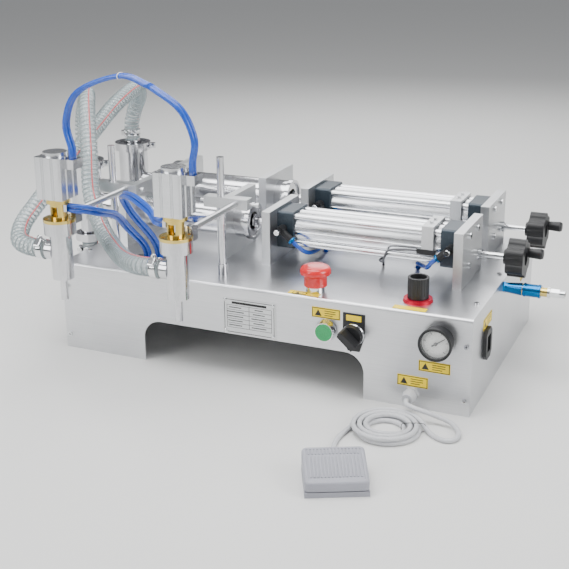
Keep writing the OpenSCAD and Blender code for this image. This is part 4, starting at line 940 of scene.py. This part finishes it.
class FILLER_OT_label_print(bpy.types.Operator):
    """Prints plain borders and signs on the labels and the nameplate"""

    bl_idname = "filler.label_print"
    bl_label = "Label print"

    def execute(self, context):
        thin = 0.12
        front = (
            ("start_label", START[0] - 0.9, START[1] + 22.1, 38.2, 14),
            ("gauge_label", GAUGE[0] - 4, GAUGE[1] - 36.4, 40, 14),
            ("gland_label", 219 + 0.75, 19 + 16.6, 39.5, 14.4),
        )
        places = [(n, facing((x, FRONT_Y - 0.6, z), (0, -1, 0)), w, h) for n, x, z, w, h in front]
        places += [
            ("stop_label", facing((80.4 - 9.4 - 6, FRONT_Y + 8, DECK_Z + 0.6), (0, 0, 1), (0, 1, 0)), 20, 10),
            ("inlet_label", facing((RIGHT_X + 0.6, -107 + 6, 100), (1, 0, 0)), 42, 14),
            ("side_label", facing((RIGHT_X + 0.6, 116, DECK_Z - 32), (1, 0, 0)), 42, 14),
        ]
        for name, place, w, h in places:
            pieces = []
            line = 0.9
            for cx, cy, bw, bh in (
                (0, h / 2 - 1, w - 1, line), (0, -h / 2 + 1, w - 1, line),
                (-w / 2 + 1, 0, line, h - 1), (w / 2 - 1, 0, line, h - 1),
            ):
                pieces.append(plate_mesh("line", rectangle(bw, bh, 0.2, 2, (cx, cy)), thin, place, 0))
            tip = h * 0.3
            pieces.append(plate_mesh(
                "sign", [(-w / 2 + 4, -tip), (-w / 2 + 4 + 2.2 * tip, -tip), (-w / 2 + 4 + 1.1 * tip, tip)],
                thin, place, 0
            ))
            for row in (-1, 0, 1):
                length = w - 14 - 2.2 * tip - (4 if row == -1 else 0)
                pieces.append(plate_mesh(
                    "bar",
                    rectangle(length, 0.9, 0.2, 2, (-w / 2 + 8 + 2.2 * tip + length / 2, row * h * 0.21)),
                    thin, place, 0
                ))
            shown(name + "_print", joined(name + "_print", pieces), "black_ink", CABINET, "black_plastic")
        place = facing((-3, FRONT_Y - 0.8, DECK_Z - 41), (0, -1, 0))
        rows = []

        def bar(w, h, r, *centre):
            rows.append(plate_mesh("bar", rectangle(w, h, r, 2, centre), thin, place, 0))

        row_gap = 6.2
        for i in range(6):
            bar(64, 0.5, 0.1, 0, 15 - i * row_gap)
        for i in range(5):
            bar(18 + (i * 7) % 9, 1.2, 0.2, -20, 12 - i * row_gap)
            bar(12 + (i * 5) % 11, 1.2, 0.2, 14, 12 - i * row_gap)
        for side in (-32, 0, 32):
            bar(0.5, 31.3, 0.1, side, -0.5)
        for cx, cz, w, h in (
            (0, 22.6, 69, 0.8), (0, -22.6, 69, 0.8), (-35.6, 0, 0.8, 42), (35.6, 0, 0.8, 42)
        ):
            bar(w, h, 0.3, cx, cz)
        bar(50, 3.2, 0.5, 0, 18.6)
        shown("nameplate_print", joined("nameplate_print", rows), "black_ink", CABINET, "black_plastic")
        for sx in (-1, 1):
            for sz in (-1, 1):
                name = f"nameplate_rivet_{'l' if sx < 0 else 'r'}{'b' if sz < 0 else 't'}"
                rivet = spun_mesh(
                    name, [(1.4, -0.6), (2.4, 0.8), (2.3, 1.3), (1.6, 1.8), (0, 2.0)],
                    (-3 + sx * 34.5, FRONT_Y, DECK_Z - 41 + sz * 21.5), (0, -1, 0), 20,
                )
                shown(name, rivet, "chrome", CABINET, "chrome")
        return {"FINISHED"}


class FILLER_OT_gauge_face(bpy.types.Operator):
    """Fits the gauge's dial, its graduations and its glass"""

    bl_idname = "filler.gauge_face"
    bl_label = "Gauge face"

    def execute(self, context):
        gx, gz = GAUGE
        face = FRONT_Y - 11.05
        dial = spun_mesh(
            "gauge_dial", [(1.3, 0.0), (17.8, 0.0), (17.8, 0.5), (17.4, 0.7), (1.3, 0.7)], (gx, face, gz),
            (0, -1, 0), 64
        )
        shown("gauge_dial", dial, "dial", CABINET, "white_plastic")
        place = facing((gx, face - 0.7, gz), (0, -1, 0))
        marks = []
        for i in range(51):
            a = math.radians(225 - 270 * i / 50)
            long = i % 10 == 0
            inner, outer, width = (12.6 if long else 14.2, 16.2, 0.55 if long else 0.25)
            d, n = Vector((math.cos(a), math.sin(a))), Vector((-math.sin(a), math.cos(a)))
            corners = [
                d * inner - n * width / 2, d * outer - n * width / 2, d * outer + n * width / 2,
                d * inner + n * width / 2
            ]
            marks.append(plate_mesh("mark", [tuple(c) for c in corners], 0.08, place, 0))
        shown("gauge_marks", joined("gauge_marks", marks), "black_ink", CABINET, "black_plastic")
        glass = spun_mesh(
            "gauge_glass", [(0, 0), (17.7, 0), (17.9, 0.2), (17.9, 1.0), (17.5, 1.3), (0, 1.3)],
            (gx, FRONT_Y - 15.2, gz), (0, -1, 0), 64,
        )
        shown("gauge_glass", glass, "glass", CABINET, "white_plastic")
        return {"FINISHED"}


class FILLER_OT_control_details(bpy.types.Operator):
    """Turns a smooth red stop button cap in place of the stop button head, and adds the yellow legend strip
    and the tie round the air tubes
    """

    bl_idname = "filler.control_details"
    bl_label = "Control details"

    def execute(self, context):
        at = (80.4, FRONT_Y + 24, DECK_Z)
        head = spun_mesh(
            "stop_button_cap",
            [(0, 19.4), (12.6, 19.4), (12.6, 8), (14.6, 8), (15, 8.5), (15, 21.2), (15.4, 21.8), (19.2, 23.9),
             (19.8, 24.4),
             (20, 25.2), (20, 28.2), (19.7, 29.6), (18.6, 31.8), (17.6, 32.8), (14.4, 34.3), (13.6, 34.3),
             (12.8, 34.7),
             (8, 35.3), (0, 35.5)],
            at, (0, 0, 1), 72,
        )
        stem = spun_mesh(
            "stop_button_stem", [(0, -26), (5.6, -26), (6, -25.5), (6, 19.2), (0, 19.2)], at, (0, 0, 1), 32
        )
        cap = shown(
            "stop_button_cap", joined("stop_button_cap", [head, stem]), "red_plastic", "stop_push",
            "red_plastic"
        )
        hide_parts("stop_button_head")
        x, z = SELECTOR
        strip = plate_mesh(
            "selector_legend", rectangle(20, 7.5, 0.6), 0.3, facing((x, FRONT_Y - 1.2, z + 21.2), (0, -1, 0)),
            0
        )
        shown("selector_legend", strip, "yellow_label", CABINET, "yellow_label")
        loop = []
        for k in range(24):
            a = 2 * math.pi * k / 24
            loop.append(Vector((-110, HEAD_Y + 7.2 * math.cos(a), 412 + 3.9 * math.sin(a))))
        loop.append(loop[0].copy())
        tie = tube_mesh("arch_tie", loop, 0.6, 6)
        shown("arch_tube_tie", tie, "white_plastic", CABINET, "white_plastic")
        return {"FINISHED"}


class FILLER_OT_pedal(bpy.types.Operator):
    """Moulds the pedal's treadle, with its rounded corners, raised rim and ribs"""

    bl_idname = "filler.pedal"
    bl_label = "Pedal"

    def execute(self, context):
        turn = Matrix.Translation(Vector((198, FRONT_Y - 209, 0))) @ Matrix.Rotation(math.radians(26), 4, "Z")
        wide, deep, front, back = 70.0, 62.0, 17.5, 28.0
        slope = (back - front) / deep

        def top(y):
            return front + slope * (y + deep / 2)

        def skirt(y):
            return 7.2 + (13 - 7.2) * (y + deep / 2) / deep

        bm = bmesh.new()
        levels = (
            (0.0, 0.0, None), (0.0, 0.0, -2.2), (0.7, 0.7, -0.7), (2.2, 2.2, 0.0), (4.2, 4.2, 0.0),
            (4.8, 4.8, -0.9),
        )
        rings = []
        for inset, _, drop in levels:
            ring = []
            for x, y in rectangle(wide - 2 * inset, deep - 2 * inset, max(6 - inset, 1.5), 6):
                z = skirt(y) if drop is None else top(y) + drop
                ring.append(bm.verts.new((x, y, z)))
            rings.append(ring)
        inner = [bm.verts.new((v.co.x * 0.955, v.co.y * 0.95, v.co.z)) for v in rings[0]]
        roof = [bm.verts.new((v.co.x * 0.95, v.co.y * 0.945, top(v.co.y) - 3.4)) for v in rings[0]]
        for low, high in [(roof, inner), (inner, rings[0]), *zip(rings, rings[1:])]:
            for k in range(len(low)):
                n = (k + 1) % len(low)
                bm.faces.new([low[k], low[n], high[n], high[k]])
        bm.faces.new(rings[-1])
        bm.faces.new(roof[::-1])
        bmesh.ops.recalc_face_normals(bm, faces=bm.faces)
        bmesh.ops.transform(bm, matrix=Matrix.Scale(MM, 4) @ turn, verts=bm.verts)
        shell = bpy.data.meshes.new("treadle_shell")
        bm.to_mesh(shell)
        bm.free()
        tilt = turn @ Matrix.Translation(
            Vector((0, -deep / 2, front - 1.0))
        ) @ Matrix.Rotation(math.atan(slope), 4, "X")
        ribs = []
        for i in range(-7, 8):
            for y, length in ((28, 36), (54, 9)):
                ribs.append(
                    plate_mesh(
                        "rib", rectangle(2.2, length, 1.0, 3), 1.25,
                        tilt @ Matrix.Translation(Vector((i * 3.9, y, 0))), 0.5
                    )
                )
        treadle = shown(
            "pedal_treadle_cover", joined("pedal_treadle_cover", [shell, *ribs]), "pedal_plastic", "treadle",
            "pedal_plastic"
        )
        treadle.data.set_sharp_from_angle(angle=math.radians(40))
        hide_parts("pedal_treadle")
        return {"FINISHED"}


class FILLER_OT_painted_screw_recess_shade(bpy.types.Operator):
    """Lays thin black crosses on the screws of the front and back panels: painted shade standing in for the
    dark inside their cross recesses
    """

    bl_idname = "filler.screw_recesses"
    bl_label = "Painted screw recess shade"

    def execute(self, context):
        painted_shade_crosses = []
        spots = [((s * 286, FRONT_Y - 2.05, z), (0, -1, 0)) for s in (-1, 1) for z in FRONT_SCREW_Z]
        spots += [((s * 286, -FRONT_Y + 2.05, z), (0, 1, 0)) for s in (-1, 1) for z in FRONT_SCREW_Z]
        for at, normal in spots:
            place = facing(at, normal)
            for w, h in ((3.2, 0.7), (0.7, 3.2)):
                painted_shade_crosses.append(plate_mesh("cross", rectangle(w, h), 0.08, place, 0))
        # The black ink crosses are painted shade of the screws' cross recesses, not print
        shown("screw_recesses", joined("screw_recesses", painted_shade_crosses), "black_ink", CABINET, "black_plastic")
        return {"FINISHED"}


class FILLER_OT_air_fittings(bpy.types.Operator):
    """Adds the chrome flow screws and the collars of the cylinders' push-in elbows"""

    bl_idname = "filler.air_fittings"
    bl_label = "Air fittings"

    def execute(self, context):
        for label, y in zip(("front", "rear"), LANES):
            for end, x, side in (("drive", -15.5 + 9, 1), ("wheel", 240.5 - 9, -1)):
                at = Vector((x, y - 26, AXIS_Z + 2))
                screw = spun_mesh(
                    f"{label}_{end}_flow_screw",
                    [
                        (0, 14.6), (3.2, 14.6), (3.2, 20.4), (3.9, 20.8), (3.9, 24), (3.4, 24.6), (1, 24.6),
                        (1, 24), (0, 24)
                    ],
                    at, (0, -1, 0), 28,
                )
                shown(f"{label}_{end}_flow_screw", screw, "chrome", CABINET, "chrome")
                arm = Matrix.Rotation(math.radians(side * 130), 3, "Y") @ Vector((0, 0, 1))
                collar = spun_mesh(
                    f"{label}_{end}_collar",
                    [(4.3, 0), (5.6, 0), (5.8, 0.4), (5.8, 2.6), (5.4, 3.0), (4.3, 3.0)],
                    at + Vector((0, -8, 0)) + arm * 19.8, arm, 28,
                )
                shown(f"{label}_{end}_collar", collar, "blue_metal", CABINET, "blue_tube")
        return {"FINISHED"}


PIECE_OPERATORS = (
    FILLER_OT_pedal_cord, FILLER_OT_suction_hoses, FILLER_OT_product_hoses, FILLER_OT_hose_clamps,
    FILLER_OT_air_tubes, FILLER_OT_finishes, FILLER_OT_label_print, FILLER_OT_gauge_face,
    FILLER_OT_control_details, FILLER_OT_pedal, FILLER_OT_painted_screw_recess_shade, FILLER_OT_air_fittings,
)


class FILLER_PT_panel(bpy.types.Panel):
    """Lists the filler's pieces"""

    bl_idname = "FILLER_PT_panel"
    bl_label = "Piston filler"
    bl_space_type = "VIEW_3D"
    bl_region_type = "UI"
    bl_category = "Filler"

    def draw(self, context):
        scene, layout = context.scene, self.layout
        for group in (scene.filler_stage, scene.filler_cord, scene.filler_hoses):
            for name in group.bl_rna.properties.keys():
                if name not in ("rna_type", "name"):
                    layout.prop(group, name)
        for operator in (FILLER_OT_stage, *PIECE_OPERATORS):
            layout.operator(operator.bl_idname)


CLASSES = (
    FILLER_PG_hoses, FILLER_PG_cord, FILLER_PG_stage, FILLER_OT_stage, *PIECE_OPERATORS, FILLER_PT_panel
)


def register():
    """Registers the classes and hangs their settings on the scene."""
    for c in CLASSES:
        bpy.utils.register_class(c)
    bpy.types.Scene.filler_hoses = PointerProperty(type=FILLER_PG_hoses)
    bpy.types.Scene.filler_cord = PointerProperty(type=FILLER_PG_cord)
    bpy.types.Scene.filler_stage = PointerProperty(type=FILLER_PG_stage)


def unregister():
    """Takes the settings and the classes away again."""
    del bpy.types.Scene.filler_hoses, bpy.types.Scene.filler_cord, bpy.types.Scene.filler_stage
    for c in reversed(CLASSES):
        bpy.utils.unregister_class(c)


def main():
    """Builds the looks piece by piece."""
    register()
    FINISHES.update(make_finishes())
    bpy.ops.filler.stage()
    bpy.ops.filler.pedal_cord()
    bpy.ops.filler.suction_hoses()
    bpy.ops.filler.product_hoses()
    bpy.ops.filler.hose_clamps()
    bpy.ops.filler.air_tubes()
    bpy.ops.filler.finishes()
    bpy.ops.filler.label_print()
    bpy.ops.filler.gauge_face()
    bpy.ops.filler.control_details()
    bpy.ops.filler.pedal()
    bpy.ops.filler.screw_recesses()
    bpy.ops.filler.air_fittings()


if __name__ == "__main__":
    main()
